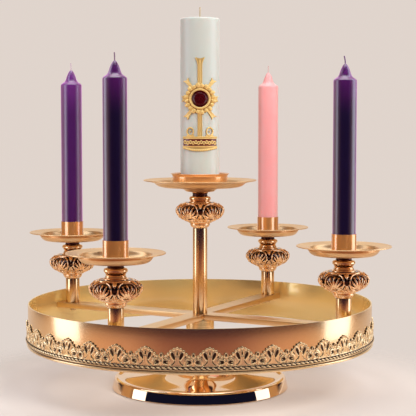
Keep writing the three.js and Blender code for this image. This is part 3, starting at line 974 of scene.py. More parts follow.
# %% A tube along a line
def draw_tube(name, points, radius, tapers=None, closed=False, size=MM):
    """A round wire through [x, y, z] points in millimetres. tapers thins it at each point."""
    data = bpy.data.curves.new(name, "CURVE")
    data.dimensions = "3D"
    spline = data.splines.new("POLY")
    spline.points.add(len(points) - 1)
    spline.use_cyclic_u = closed
    for index, (spot, place) in enumerate(zip(spline.points, points)):
        spot.co = (*(Vector(place) * size), 1)
        spot.radius = tapers[index] if tapers else 1.0
    data.bevel_depth = radius * size
    data.bevel_resolution = 3
    data.use_fill_caps = True
    piece = bpy.data.objects.new(name, data)
    bpy.context.scene.collection.objects.link(piece)
    choose(piece)
    bpy.ops.object.convert(target="MESH")
    return bpy.context.object


print("tubes are drawn as round wires with capped ends")

# %% Braid the wicks
WICK_LEAN = {
    "right": (-1.6, -0.8),
    "rear": (0.2, 0.1),
    "left": (-0.8, 0.2),
    "front": (-0.3, -0.3),
    "centre": (0.2, 0.0),
}
WICK_COLOURS = {
    "right": (0.16, 0.06, 0.22),
    "rear": (0.88, 0.62, 0.58),
    "left": (0.78, 0.62, 0.70),
    "front": (0.30, 0.20, 0.30),
    "centre": (0.72, 0.58, 0.38),
}
for side, place in ALL_FIVE.items():
    node = f"{side}_wick"
    top = high(node).z
    start, radius = (PILLAR_TOP - 8, 1.2) if side == "centre" else (SHOULDER + 20, 1.0)
    lean_x, lean_y = WICK_LEAN[side]
    bends = flowing([
        (place.x, place.y, start),
        (place.x, place.y, top - 12),
        (place.x + 0.3 * lean_x, place.y + 0.3 * lean_y, top - 6),
        (place.x + lean_x, place.y + lean_y, top - 0.3),
    ], 4)
    wick = draw_tube(f"{side}_wick_braided", bends, radius)
    finish_piece(wick, cotton(f"{side}_wick_cotton", WICK_COLOURS[side]), "cotton", node)
print("wicks braided")

# %% [markdown]
# ## Casting: how the ornament is made
# The cresting and the knops are castings: a carver cuts one motif in wax, and it is cast over and over. The
# same is done here. One half of the motif is drawn flat, at a thousand times its size, from pierced plates,
# wires, blades and beads. A voxel remesh melts them into one skin, as wax would, and smoothing softens it.
# The half is then mirrored and repeated, laid round the ring or over the knop, and welded along its seams.

# %% Cut a pierced plate
def cut_plate(name, outline, holes, back, front):
    """A pierced flat plate between two heights: a filled outline with holes, given a thickness."""
    data = bpy.data.curves.new(name, "CURVE")
    data.dimensions = "2D"
    data.fill_mode = "BOTH"
    data.extrude = (front - back) / 2
    for loop in (outline, *holes):
        spline = data.splines.new("POLY")
        spline.points.add(len(loop) - 1)
        spline.use_cyclic_u = True
        for spot, (across, up) in zip(spline.points, loop):
            spot.co = (across, up, 0, 1)
    plate = bpy.data.objects.new(name, data)
    bpy.context.scene.collection.objects.link(plate)
    choose(plate)
    bpy.ops.object.convert(target="MESH")
    plate = bpy.context.object
    plate.location.z = (front + back) / 2
    bpy.ops.object.transform_apply(location=True)
    return plate


print("plates are cut from filled curves")

# %% Add wires, blades and beads
FLAT = 1.0


def add_wire(points, height, radius, closed=False, tapers=None, sink=0.0):
    """A raised wire along [across, up] points of the flat motif. sink lowers its two ends."""
    last = len(points) - 1
    heights = [height - sink * abs(2 * i / last - 1) ** 2 for i in range(last + 1)]
    path = [(across, up, h) for (across, up), h in zip(points, heights)]
    return draw_tube("wire", path, radius, tapers, closed, FLAT)


def add_blade(points, height, radius, sink=0.0):
    """A leaf rib: a wire that is thin at both ends and full in the middle."""
    last = len(points) - 1
    tapers = [0.35 + 0.65 * math.sin(math.pi * min(1, 0.15 + 0.85 * i / last)) ** 0.8 for i in range(last)]
    return add_wire(points, height, radius, False, [*tapers, 0.3], sink)


def add_bead(across, up, height, radius, flat=0.8):
    """A round bead, a little flattened."""
    clear_choice()
    bpy.ops.mesh.primitive_ico_sphere_add(subdivisions=3, radius=radius, location=(across, up, height))
    bead = bpy.context.object
    bead.scale = (1, 1, flat)
    bpy.ops.object.transform_apply(location=True, rotation=True, scale=True)
    return bead


print("a millimetre of a flat motif is drawn as", FLAT, "metre")

# %% Outlines for a flat motif
def oval(centre, half_width, half_height, tilt=0.0, steps=20):
    """A closed ellipse, tilted by an angle in degrees."""
    lean = math.radians(tilt)
    loop = []
    for i in range(steps):
        a = 2 * math.pi * i / steps
        x, y = half_width * math.cos(a), half_height * math.sin(a)
        loop.append((centre[0] + x * math.cos(lean) - y * math.sin(lean),
                     centre[1] + x * math.sin(lean) + y * math.cos(lean)))
    return loop


def closed_flow(points, spans=4):
    """A smooth closed loop through the points."""
    line = [tuple(p) for p in points]
    whole = flowing([*line[-2:], *line, *line[:2]], spans)
    return whole[2 * spans:(len(line) + 2) * spans]


def mirrored_about(points, centre):
    """The same points on the other side of a centre line."""
    return [(2 * centre - p[0], *p[1:]) for p in points]


def both_sides(points, plane):
    """A shape and its mirror image across an edge of the half motif."""
    return [points, mirrored_about(points, plane)]


print("an oval has", len(oval((0, 0), 2, 1)), "points")

# %% Melt a motif
def melt(name, parts, voxel, softening, wanted):
    """Joins parts into one skin by a voxel remesh, smooths it, and thins it to about so many triangles."""
    choose(parts[0])
    for part in parts:
        part.select_set(True)
    if len(parts) > 1:
        bpy.ops.object.join()
    piece = bpy.context.object
    piece.name = name
    skin = piece.modifiers.new("one_skin", "REMESH")
    skin.mode = "VOXEL"
    skin.voxel_size = voxel
    bpy.ops.object.modifier_apply(modifier=skin.name)
    soft = piece.modifiers.new("softening", "SMOOTH")
    soft.factor = 0.5
    soft.iterations = softening
    bpy.ops.object.modifier_apply(modifier=soft.name)
    count = sum(len(face.vertices) - 2 for face in piece.data.polygons)
    thin = piece.modifiers.new("thinning", "DECIMATE")
    thin.ratio = min(1.0, wanted / count)
    bpy.ops.object.modifier_apply(modifier=thin.name)
    print(name, "skin", count, "triangles, thinned to", len(piece.data.polygons))
    return piece


print("parts are melted by a voxel remesh")

# %% Cut a motif
ON_THE_PLANE = 0.001


def keep_half(piece, width):
    """Cuts the motif at both of its mirror planes, so that what is left is one half of it."""
    choose(piece)
    bpy.ops.object.mode_set(mode="EDIT")
    for plane, away in ((0, (-1, 0, 0)), (width, (1, 0, 0))):
        bpy.ops.mesh.select_all(action="SELECT")
        bpy.ops.mesh.bisect(plane_co=(plane, 0, 0), plane_no=away, clear_outer=True)
    bpy.ops.object.mode_set(mode="OBJECT")
    for vertex in piece.data.vertices:
        for plane in (0, width):
            if abs(vertex.co.x - plane) < ON_THE_PLANE:
                vertex.co.x = plane
    return piece


def slice_upright(piece, reach, step):
    """Cuts the faces of a flat motif along upright lines, so that they can bend round a small cylinder.

    No line falls on a seam between two halves, because a cut that close beside a seam would open it.
    """
    choose(piece)
    bpy.ops.object.mode_set(mode="EDIT")
    for count in range(-int(reach / step), int(reach / step) + 1):
        bpy.ops.mesh.select_all(action="SELECT")
        bpy.ops.mesh.bisect(plane_co=((count + 0.5) * step, 0, 0), plane_no=(1, 0, 0))
    bpy.ops.object.mode_set(mode="OBJECT")
    return piece


print("corners are put on a mirror plane within", ON_THE_PLANE, "mm")

# %% Clean a welded casting
def drop_doubled_faces(piece):
    """Takes out slivers that welding has folded flat, which are faces that share all their corners."""
    mesh = bmesh.new()
    mesh.from_mesh(piece.data)
    by_corners = {}
    for face in mesh.faces:
        by_corners.setdefault(frozenset(v.index for v in face.verts), []).append(face)
    doubled = [face for same in by_corners.values() if len(same) > 1 for face in same]
    bmesh.ops.delete(mesh, geom=doubled, context="FACES")
    mesh.to_mesh(piece.data)
    open_edges = sum(edge.is_boundary for edge in mesh.edges)
    crowded = sum(len(edge.link_faces) > 2 for edge in mesh.edges)
    mesh.free()
    print(piece.name, "folded faces:", len(doubled), "open edges:", open_edges, "crowded edges:", crowded)


print("folded faces are counted as they are taken out")

# %% Repeat a motif round a shape
SEAM_WELD = 0.02
CAST_SMOOTH_BELOW = math.radians(60)


def repeat_round(piece, name, width, halves, place_on, deepest, highest):
    """Lays copies of a half motif, every other one mirrored, side by side round a shape, and welds them.

    place_on turns a point across, up and out into a point in millimetres. deepest and highest are the heights
    of the flat motif that count as 0 and 1 in the relief attribute.
    """
    flat = bmesh.new()
    flat.from_mesh(piece.data)
    flat.verts.ensure_lookup_table()
    points = [v.co.copy() for v in flat.verts]
    faces = [[v.index for v in face.verts] for face in flat.faces]
    around, loops, relief = [], [], []
    for half in range(halves):
        start = len(around)
        odd = half % 2 == 1
        for p in points:
            across = (width - p.x if odd else p.x) + half * width
            around.append(Vector(place_on(across, p.y, p.z)) * MM)
            relief.append(min(1.0, max(0.0, (p.z - deepest) / (highest - deepest))))
        loops += [[start + i for i in (reversed(face) if odd else face)] for face in faces]
    flat.free()
    mesh = bpy.data.meshes.new(name)
    mesh.from_pydata(around, [], loops)
    heights = mesh.attributes.new("relief", "FLOAT", "POINT")
    heights.data.foreach_set("value", relief)
    cast = bpy.data.objects.new(name, mesh)
    bpy.context.scene.collection.objects.link(cast)
    bpy.data.objects.remove(piece)
    choose(cast)
    bpy.ops.object.mode_set(mode="EDIT")
    weld(SEAM_WELD)
    bpy.ops.mesh.normals_make_consistent(inside=False)
    bpy.ops.object.mode_set(mode="OBJECT")
    drop_doubled_faces(cast)
    bpy.ops.object.shade_smooth_by_angle(angle=CAST_SMOOTH_BELOW)
    print(name, len(cast.data.polygons), "faces")
    return cast


print("copies are welded where they meet within", SEAM_WELD, "mm")

# %% [markdown]
# ## The cresting
# The cresting is a row of pointed arches with beads along their edges. Inside each arch, two drop-shaped
# openings lean apart over a stalk that flares like a tulip. At the foot of each side a scroll curls round an
# eye, and a small bud stands in the dip between two arches. The openings are not cut right through: a thin
# plate behind them is painted dark by its low relief, as painted shade for the shaded band behind the real
# cresting. Half an arch is drawn: 0 is its middle, and the other edge is the middle of the dip.

# %% Carve half an arch
CREST_HALVES = 76
CREST_RADIUS = RING_RADIUS + 0.3
HALF_ARCH = 2 * math.pi * CREST_RADIUS / CREST_HALVES
CREST_LOW = low("gallery_crest").z
CREST_LIFT = 2.6
CREST_TURN = math.radians(8.21)
ARCH_TOP = [(0, 29.4), (4.5, 28), (9, 25), (13, 21.2), (16.2, 18), (18.6, 16.2), (20.8, 16.6), (22, 18.8),
            (23.4, 20.3), (HALF_ARCH, 20.8)]
top_line = flowing([*reversed(mirrored_about(ARCH_TOP[1:3], 0)), *ARCH_TOP,
                    *reversed(mirrored_about(ARCH_TOP[-3:-1], HALF_ARCH))], 3)
drop_hole = closed_flow([(3.3, 11.0), (3.0, 14.0), (3.7, 17.4), (5.0, 20.4), (7.0, 22.2), (9.0, 21.8), (9.9, 19.6),
                         (9.0, 16.4), (7.0, 13.2), (4.9, 10.8)])
eye_hole = oval((17.4, 6.9), 4.4, 2.8, 15)
slit_hole = oval((12.4, 14.9), 0.9, 2.5, -38)
middle_slit = oval((0, 20.4), 1.2, 3.0)
bud_hole = oval((HALF_ARCH, 17.6), 1.5, 1.9)
side_hole = oval((21.0, 12.6), 1.0, 1.3)
groove = [(3.0, 9.4), (3.5, 7.4), (5.1, 4.9), (7.5, 2.9), (9.8, 1.7), (9.8, 2.9), (8.2, 3.9), (6.1, 5.7),
          (4.6, 8.0), (4.1, 9.6)]
FIRST, LAST = top_line[0][0], top_line[-1][0]
outline = [(FIRST, 0.2), *top_line, (LAST, 0.2)]
holes = [*both_sides(drop_hole, 0), *both_sides(eye_hole, HALF_ARCH), *both_sides(side_hole, HALF_ARCH),
         slit_hole, middle_slit, bud_hole, groove]
ground = cut_plate("crest_ground", outline, holes, 0.2, 1.5)
# A backing plate behind the openings, painted dark by its low relief as painted shade.
backing_outline = [(FIRST, 0.4), *[(x, y - 1.2) for x, y in top_line], (LAST, 0.4)]
backing = cut_plate("crest_backing", backing_outline, [], -0.15, 0.45)
tulip = [(0, 15.6), (2.0, 14.4), (2.0, 11.4), (2.5, 8.4), (4.0, 5.4), (6.4, 3.0), (8.6, 1.6), (8.8, 0.4)]
tulip_loop = [*tulip, *reversed(mirrored_about(tulip[1:], 0))]
arch_parts = [ground, backing, cut_plate("tulip", tulip_loop, [], 1.0, 2.1)]
arch_parts.append(add_wire([(FIRST, 0.9), (HALF_ARCH, 0.9), (LAST, 0.9)], 1.6, 0.8))
print("ground and tulip cut, half an arch is", round(HALF_ARCH, 2), "mm wide")

# %% Raise the wires, scrolls and beads of the arch
ARCH_BEADS = [(0, 28.6, 2.2), (5.4, 26.7, 2.1), (10.2, 23.7, 2.1), (14.4, 19.8, 2.0), (18.0, 16.3, 1.7)]
scroll = flowing([(20.4, 13.6), (17.6, 13.4), (14.4, 12.0), (12.2, 9.4), (11.4, 6.2), (12.2, 3.2), (14.2, 1.8)], 4)
hook = flowing([(13.2, 4.4), (14.2, 6.2), (15.8, 6.8), (16.8, 6.0)], 3)
for across, up, radius in ARCH_BEADS:
    arch_parts.append(add_bead(across, up, 1.6, radius, 0.8))
drop_edge = closed_flow([(1.12 * across - 0.75, 1.08 * up - 1.3) for across, up in drop_hole[::4]])
for shape in both_sides(drop_edge, 0):
    arch_parts.append(add_wire(shape, 1.6, 0.65, closed=True))
for shape in both_sides(oval((17.4, 6.9), 5.2, 3.6, 15), HALF_ARCH):
    arch_parts.append(add_wire(shape, 1.6, 0.9, closed=True))
for shape in both_sides(scroll, HALF_ARCH):
    arch_parts.append(add_wire(shape, 1.6, 0.9))
for shape in both_sides(tulip, 0):
    arch_parts.append(add_wire(shape, 1.9, 0.5))
arch_parts.append(add_wire(hook, 1.4, 0.8))
arch_parts.append(add_wire(oval((0, 20.4), 1.9, 3.7), 1.5, 0.55, closed=True))
arch_parts.append(add_wire(oval((HALF_ARCH, 17.6), 2.5, 2.9), 1.5, 0.9, closed=True))
arch_parts.append(add_blade(flowing([(HALF_ARCH, 0.8), (HALF_ARCH, 5.5), (HALF_ARCH, 10.5)], 4), 1.5, 1.2))
for across in (21.8, 2 * HALF_ARCH - 21.8):
    arch_parts.append(add_bead(across, 10.6, 1.5, 1.4, 0.9))
print("half an arch has", len(arch_parts), "parts")

# %% Melt the arch and lay it round the ring
half_arch = melt("half_arch", arch_parts, voxel=0.34, softening=2, wanted=3800)
keep_half(half_arch, HALF_ARCH)


def on_the_ring(across, up, out):
    """Lays a point of the flat cresting round the ring."""
    angle = across / CREST_RADIUS + CREST_TURN
    return (
        (CREST_RADIUS + out) * math.cos(angle),
        (CREST_RADIUS + out) * math.sin(angle),
        CREST_LOW + CREST_LIFT + up,
    )


crest = repeat_round(half_arch, "gallery_crest_cast", HALF_ARCH, CREST_HALVES, on_the_ring,
                     deepest=0.2, highest=1.7)
finish_piece(crest, antique, "antique_gold", "gallery_crest")
print("cresting:", CREST_HALVES // 2, "arches round the ring")

# %% [markdown]
# ## The rope moulding
# The rope is two wires twisted together. Each wire follows a helix round a circle, so a tube along that
# helix gives it, with enough turns to match the lumps that can be counted on the real one.

# %% Twist the rope
ROPE_TWISTS = 111
ROPE_STEPS = 12
ROPE_HEIGHT = 91.4
ROPE_CENTRE = RING_RADIUS + 2.2
STRAND_OFF, STRAND_UP, STRAND_RADIUS = 1.0, 1.1, 1.3
strands = []
for strand in range(2):
    path = []
    for step in range(ROPE_TWISTS * ROPE_STEPS):
        around = 2 * math.pi * step / (ROPE_TWISTS * ROPE_STEPS)
        twist = -around * ROPE_TWISTS + math.pi * strand
        radius = ROPE_CENTRE + STRAND_OFF * math.cos(twist)
        height = ROPE_HEIGHT + STRAND_UP * math.sin(twist)
        path.append((radius * math.cos(around), radius * math.sin(around), height))
    strands.append(draw_tube(f"rope_strand_{strand + 1}", path, STRAND_RADIUS, closed=True))
    choose(strands[-1])
    bpy.ops.object.shade_smooth()
choose(strands[0])
strands[1].select_set(True)
bpy.ops.object.join()
rope = bpy.context.object
rope.name = "rope_moulding_twisted"
# The relief paints the rope dark between its strands: painted shade.
mark_depth(rope, ROPE_CENTRE + 0.7, ROPE_CENTRE + 2.2)
finish_piece(rope, antique, "antique_gold", "rope_moulding")
print("rope:", len(rope.data.polygons), "faces")

# %% [markdown]
# ## The knops
# A knop is a pierced ball between the post and the neck. Six egg-shaped frames go round it, each holding a
# palmette of ribs, with a small leaf and a gap between two frames. A collar and a row of petals close it
# underneath, and a rounded flange on top carries the neck. A core stands behind the open work, and the core
# and the ground in the gaps are painted dark, as painted shade. Half a frame is drawn flat, and laid on the
# knop's outline.

# %% The knop's outline and how the flat motif lies on it
KNOP_HALVES = 12
KNOP_HALF_ANGLE = 2 * math.pi / KNOP_HALVES
KNOP_RADIUS = 41.2
KNOP_HEIGHT = 41.0
KNOP_BORE = 12.9
HALF_FRAME = KNOP_RADIUS * KNOP_HALF_ANGLE
KNOP_OUTLINE = flowing([(15.2, 0.8), (18.8, 3.2), (24.8, 6.0), (30.0, 9.2), (35.4, 13.4), (39.8, 18.2),
                        (41.2, 23.4), (40.6, 28.4), (37.6, 32.6), (32.4, 36.0), (27.6, 37.6)], 6)


def on_the_outline(along):
    """The point, and the direction outwards, at a length along the knop's outline.

    Past its two ends the outline goes straight on, for the rims that stand out there.
    """
    left = along
    for a, b in zip(KNOP_OUTLINE, KNOP_OUTLINE[1:]):
        step = math.dist(a, b)
        if left <= step or b == KNOP_OUTLINE[-1]:
            share = left / step
            slope = ((b[0] - a[0]) / step, (b[1] - a[1]) / step)
            return (a[0] + (b[0] - a[0]) * share, a[1] + (b[1] - a[1]) * share), (slope[1], -slope[0])
        left -= step


KNOP_LENGTH = sum(math.dist(a, b) for a, b in zip(KNOP_OUTLINE, KNOP_OUTLINE[1:]))
print("knop outline is", round(KNOP_LENGTH, 1), "mm long, half a frame is", round(HALF_FRAME, 2), "mm wide")

# %% Carve half a frame of the knop
LEFT_EDGE, RIGHT_EDGE = -4, HALF_FRAME + 4
egg = closed_flow([(0, 52.6), (6.8, 51.4), (12.2, 47.6), (15.4, 42.0), (16.4, 36.0), (15.6, 30.2), (13.2, 25.0),
                   (9.6, 20.8), (5.2, 18.2), (0, 17.2), (-5.2, 18.2), (-9.6, 20.8), (-13.2, 25.0), (-15.6, 30.2),
                   (-16.4, 36.0), (-15.4, 42.0), (-12.2, 47.6), (-6.8, 51.4)])
BLADES = [
    ([(0, 25), (0, 34), (0, 42), (0, 48.5)], 2.1),
    ([(1.2, 25.5), (4.2, 34), (7.4, 41), (9.0, 45.8)], 1.8),
    ([(1.8, 24.8), (7.0, 30.6), (11.0, 35.6), (13.2, 39.6)], 1.7),
    ([(2.0, 23.8), (7.2, 25.2), (11.4, 28.0), (13.8, 31.0)], 1.5),
    ([(1.6, 22.4), (5.2, 21.6), (8.2, 22.6), (10.6, 24.6)], 1.1),
]
RINGS = [(KNOP_LENGTH - 0.8, -0.6, 1.8), (1.2, 0, 1.5), (5.4, -0.4, 1.0)]
frame_parts = [
    *[add_wire([(LEFT_EDGE, up), (0, up), (RIGHT_EDGE, up)], height, radius) for up, height, radius in RINGS],
    cut_plate("lower_ground", [(LEFT_EDGE, 0), (LEFT_EDGE, 19), (0, 18), (9, 20.5), (RIGHT_EDGE, 20.5),
                               (RIGHT_EDGE, 0)], [], -2.6, -1.0),
    cut_plate("upper_leaf", [(HALF_FRAME - 5.6, KNOP_LENGTH), (HALF_FRAME - 3.4, 47.6), (HALF_FRAME, 41.0),
                             (HALF_FRAME + 3.4, 47.6), (HALF_FRAME + 5.6, KNOP_LENGTH)],
              [oval((HALF_FRAME, 50.6), 1.5, 1.0)], -2.0, 0.2),
    cut_plate("lower_leaf", [(HALF_FRAME, 31.2), (HALF_FRAME - 4.2, 27.0), (HALF_FRAME - 5.6, 20.4),
                             (HALF_FRAME + 5.6, 20.4), (HALF_FRAME + 4.2, 27.0)], [], -2.2, -0.4),
]
for loop in both_sides(egg, HALF_FRAME):
    frame_parts.append(add_wire(loop, 0, 1.3, closed=True))
print("rims, leaves and egg-shaped edges:", len(frame_parts), "parts")

# %% Raise the ribs, petals and beads of the frame
for points, radius in BLADES:
    bent = flowing(points, 4)
    frame_parts.append(add_blade(bent, -0.5, radius, 0.5))
    if points[0][0]:
        frame_parts.append(add_blade(mirrored_about(bent, 0), -0.5, radius, 0.5))
frame_parts.append(add_bead(0, 24.2, -0.2, 2.7, 0.8))
for ups, height in (((KNOP_LENGTH, 48, 44, 41), 0.3), ((20, 24, 28, 31.5), -0.1)):
    frame_parts.append(add_blade([(HALF_FRAME, up) for up in ups], height, 1.3))
rim = flowing([(HALF_FRAME - 5.4, 36.0), (HALF_FRAME - 4.0, 32.6), (HALF_FRAME, 31.0), (HALF_FRAME + 4.0, 32.6),
               (HALF_FRAME + 5.4, 36.0)], 4)
frame_parts.append(add_wire(rim, -0.2, 1.0))
for centre, size in ((0, 8.2), (0, 4.8), (HALF_FRAME, 7.0), (HALF_FRAME, 3.6)):
    petal = bow((centre, 17.2 if centre == 0 else 16.2), size, 180, 360, 12)
    frame_parts.append(add_wire(petal, -0.6, 1.0))
frame_parts.append(add_bead(0, 14.6, -0.8, 1.6))
frame_parts.append(add_bead(HALF_FRAME, 14.6, -0.8, 1.3))
half_frame = melt("half_frame", frame_parts, voxel=0.42, softening=2, wanted=2600)
keep_half(half_frame, HALF_FRAME)
slice_upright(half_frame, HALF_FRAME, step=3)
print("half a frame, melted from", len(frame_parts), "parts, has", len(half_frame.data.polygons), "faces")

# %% Lay the frames round the knop
def on_the_knop(across, up, out):
    """Lays a point of the flat frame on the knop's outline."""
    (radius, height), (outwards, upwards) = on_the_outline(up)
    angle = across / KNOP_RADIUS
    reach = radius + out * outwards
    return (reach * math.cos(angle), reach * math.sin(angle), height + out * upwards)


knop_cage = repeat_round(half_frame, "knop_pattern", HALF_FRAME, KNOP_HALVES, on_the_knop,
                         deepest=-2.4, highest=0.2)
print("knop cage laid round")

# %% Turn the core, the flange and the collar of the knop, and set its petals
core_outline = [(KNOP_BORE, 0.2), (15, 0.6), *[(r - 5.5, z) for r, z in KNOP_OUTLINE[8:-4:4]], (24, 38.6),
                (KNOP_BORE, 38.6)]
knop_core = turn("knop_core", core_outline, 48, softness=0)
flange_outline = [(KNOP_BORE, 37.6), (19.8, 37.6), *bow((18.6, 38.9), 1.5, -60, 70, 6), (17.6, KNOP_HEIGHT),
                  (KNOP_BORE, KNOP_HEIGHT)]
knop_flange = turn("knop_flange", flange_outline, 64, softness=0)
collar_outline = [(KNOP_BORE, -5.6), *flowing([(13.4, -5.4), (14.6, -3.6), (15.8, -1.8), (17.2, -0.6)], 3),
                  *bow((16.6, 0.6), 1.1, -60, 70, 5), (KNOP_BORE, 2.0)]
collar = turn("collar", collar_outline, 48, softness=0)
PETALS = 12
clear_choice()
bpy.ops.mesh.primitive_uv_sphere_add(segments=12, ring_count=8, radius=1 * MM)
petal_pattern = bpy.context.object
petal_pattern.scale = (1.3, 3.0, 3.0)
petal_pattern.rotation_euler = (0, math.radians(32), 0)
petal_pattern.location = (15.0 * MM, 0, -2.2 * MM)
bpy.ops.object.transform_apply(location=True, rotation=True, scale=True)
bpy.ops.object.shade_smooth()
petals = [copy_piece(petal_pattern, "petal", turn_by=2 * math.pi * index / PETALS) for index in range(PETALS)]
bpy.data.objects.remove(petal_pattern)
print("knop core, flange, collar and", len(petals), "petals made")

# %% Bring the parts of the knop together and copy it to every branch
# A relief of 0 paints the knop's core dark, as painted shade behind the open work.
for part, depth in ((knop_core, 0.0), (knop_flange, 1.0), (collar, 1.0), *[(p, 0.9) for p in petals]):
    heights = part.data.attributes.new("relief", "FLOAT", "POINT")
    heights.data.foreach_set("value", [depth] * len(part.data.vertices))
choose(knop_cage)
for part in (knop_core, knop_flange, collar, *petals):
    part.select_set(True)
bpy.ops.object.join()
knop = bpy.context.object
for side, place in ALL_FIVE.items():
    bottom = high(f"{side}_knop").z - KNOP_HEIGHT
    piece = copy_piece(knop, f"{side}_knop_cast", (place.x, place.y, bottom), KNOP_HALF_ANGLE)
    finish_piece(piece, knop_cast, "polished_gold", f"{side}_knop")
bpy.data.objects.remove(knop)
print("knops copied to", list(ALL_FIVE))

# %% [markdown]
# ## The wax relief on the pillar candle
# Wax relief is pressed in a mould, gilded, and laid on the warm candle. It is drawn flat like the castings: a
# staff that widens at its top, six rays and a sunburst of leaves round a dark red medallion, and a border of
# two gilded edges and small beads, with a wavy line and beads over the dark red stripe between them. A small
# gilded ring lies on a short bar at each side of the staff. Heights are millimetres above the table. The flat
# relief is then bent round the candle, on the side that faces between the front and the right-hand branch.

# %% How the flat relief lies on the pillar
RELIEF_MIDDLE = 500
RELIEF_LIFT = 3.0
RELIEF_TURN = math.radians(29 - 90)
RELIEF_RADIUS = PILLAR_RADIUS + 0.3


def on_the_pillar(across, up, out):
    """Lays a point of the flat relief on the pillar, with across as it is seen from the front."""
    angle = RELIEF_TURN + math.asin(max(-0.99, min(0.99, across / (RELIEF_RADIUS + 0.7))))
    return ((RELIEF_RADIUS + out) * math.cos(angle), (RELIEF_RADIUS + out) * math.sin(angle), up + RELIEF_LIFT)


def upright(half_width, bottom, top):
    """The corners of an upright rectangle about the middle line."""
    return [(-half_width, bottom), (half_width, bottom), (half_width, top), (-half_width, top)]


print("the relief lies on a radius of", round(RELIEF_RADIUS, 1), "mm")

# %% Cut the borders and the staff
lower_edge = [(-28.6, 419.4), (28.6, 419.4), (28.4, 416.6), (20, 414.0), (10, 412.6), (0, 412.2), (-10, 412.6),
              (-20, 414.0), (-28.4, 416.6)]
staff_top = [(-4, 522), (4, 522), (4, 560), (8.2, 570.6), (0, 568.4), (-8.2, 570.6), (-4, 560)]
relief_parts = [
    cut_plate("upper_border", upright(28.8, 431.6, 435.6), [], 0.0, 1.2),
    cut_plate("lower_border", lower_edge, [], 0.0, 1.2),
    cut_plate("staff_low", upright(4, 434, 480), [], 0.0, 1.1),
    cut_plate("staff_high", staff_top, [], 0.0, 1.1),
]
print("borders and staff:", len(relief_parts), "plates")

# %% Add the rays, the staff's edges and the two rings
def ray_point(turn_to, reach, beside):
    """A point at a distance from the medallion's middle, and beside the line that goes there."""
    return (reach * math.cos(turn_to) - beside * math.sin(turn_to),
            RELIEF_MIDDLE + reach * math.sin(turn_to) + beside * math.cos(turn_to))


LONG_RAYS = [(math.radians(a), 40.5) for a in (54, 126, 234, 306)] + [(0, 30.5), (math.pi, 30.5)]
for turn_to, reach in LONG_RAYS:
    shape = [(19, -2.2), (reach - 5, -3.0), (reach + 0.6, -5.0), (reach - 1.4, 0), (reach + 0.6, 5.0),
             (reach - 5, 3.0), (19, 2.2)]
    relief_parts.append(cut_plate("ray", [ray_point(turn_to, *p) for p in shape], [], 0.0, 1.5))
    for beside in (-1, 1):
        widths = ((19, 1.9), (reach - 5, 2.7), (reach, 4.5))
        edge = flowing([ray_point(turn_to, r, beside * half_width) for r, half_width in widths], 3)
        relief_parts.append(add_wire(edge, 1.4, 0.7))
for way in (-1, 1):
    for edge in ([(3.4, 436), (3.2, 460), (3.4, 484)], [(3.4, 516), (3.3, 545), (3.8, 560), (7.6, 569.6)]):
        relief_parts.append(add_wire(flowing([(way * across, up) for across, up in edge], 4), 1.0, 0.85))
    relief_parts.append(add_wire(oval((way * 16.4, 444.2), 5.4, 6.8), 0.9, 1.35, closed=True))
    relief_parts.append(add_wire([(way * 9.6, 437.0), (way * 16, 437.8), (way * 22.8, 437.0)], 0.8, 1.2))
    relief_parts.append(add_bead(way * 16.4, 444.2, 0.5, 1.5))
relief_parts.append(add_wire([(0, 436), (0, 484)], 1.0, 0.9))
relief_parts.append(add_wire([(0, 516), (0, 566)], 1.0, 0.9))
print("with the rays, edges and rings:", len(relief_parts), "parts")

# %% Add the sunburst, the beads and the wavy line
LEAVES = 20
for index in range(LEAVES):
    turn_to = 2 * math.pi * (index + 0.5) / LEAVES
    reach = 26.8 if index % 2 else 25.0
    leaf = [ray_point(turn_to, r, 0) for r in (19.4, 21.2, 23.4, reach)]
    relief_parts.append(add_wire(leaf, 0.7, 3.6, tapers=[0.7, 0.9, 1.05, 0.85]))
    for beside in (-1.2, 0, 1.2):
        leaf = [ray_point(turn_to, r, beside * r / 20) for r in (19.8, 22.6, reach - 0.4)]
        relief_parts.append(add_wire(leaf, 2.0, 0.55))
relief_parts.append(cut_plate("sunburst_ground", oval((0, RELIEF_MIDDLE), 21.5, 21.5, steps=48),
                              [oval((0, RELIEF_MIDDLE), 14, 14, steps=48)], 0.0, 0.5))
relief_parts.append(add_wire(oval((0, RELIEF_MIDDLE), 16.0, 16.0, steps=48), 1.6, 1.9, closed=True))
for up, radius in ((434.9, 1.0), (432.2, 0.8), (419.0, 0.9)):
    relief_parts.append(add_wire([(-28.6, up), (0, up), (28.6, up)], 1.1, radius))
for index in range(19):
    across = 3.05 * (index - 9)
    relief_parts.append(add_bead(across, 412.0 + 4.6 * (across / 28) ** 2, 1.0, 1.9))
STRIPE_MIDDLE = 425.4
WAVE = 9
wavy_line = [(-27 + 0.9 * i, STRIPE_MIDDLE + 3.4 * math.sin(2 * math.pi * 0.9 * i / WAVE)) for i in range(61)]
relief_parts.append(add_wire(wavy_line, 1.5, 0.95))
for index in range(12):
    way = 1 if index % 2 else -1
    relief_parts.append(add_bead(-24.75 + WAVE / 2 * index, STRIPE_MIDDLE + way * 1.5, 1.5, 1.5))
print("with the sunburst, beads and wavy line:", len(relief_parts), "parts")

# %% Press the relief, the medallion and the stripe round the candle
def press(name, parts, voxel, softening, wanted, deepest, highest):
    """Melts flat parts into one skin, cuts it into narrow strips, and bends it round the pillar."""
    flat = melt(f"flat_{name}", parts, voxel, softening, wanted)
    slice_upright(flat, PILLAR_RADIUS, step=2)
    return repeat_round(flat, f"relief_{name}_pressed", 0, 1, on_the_pillar, deepest, highest)


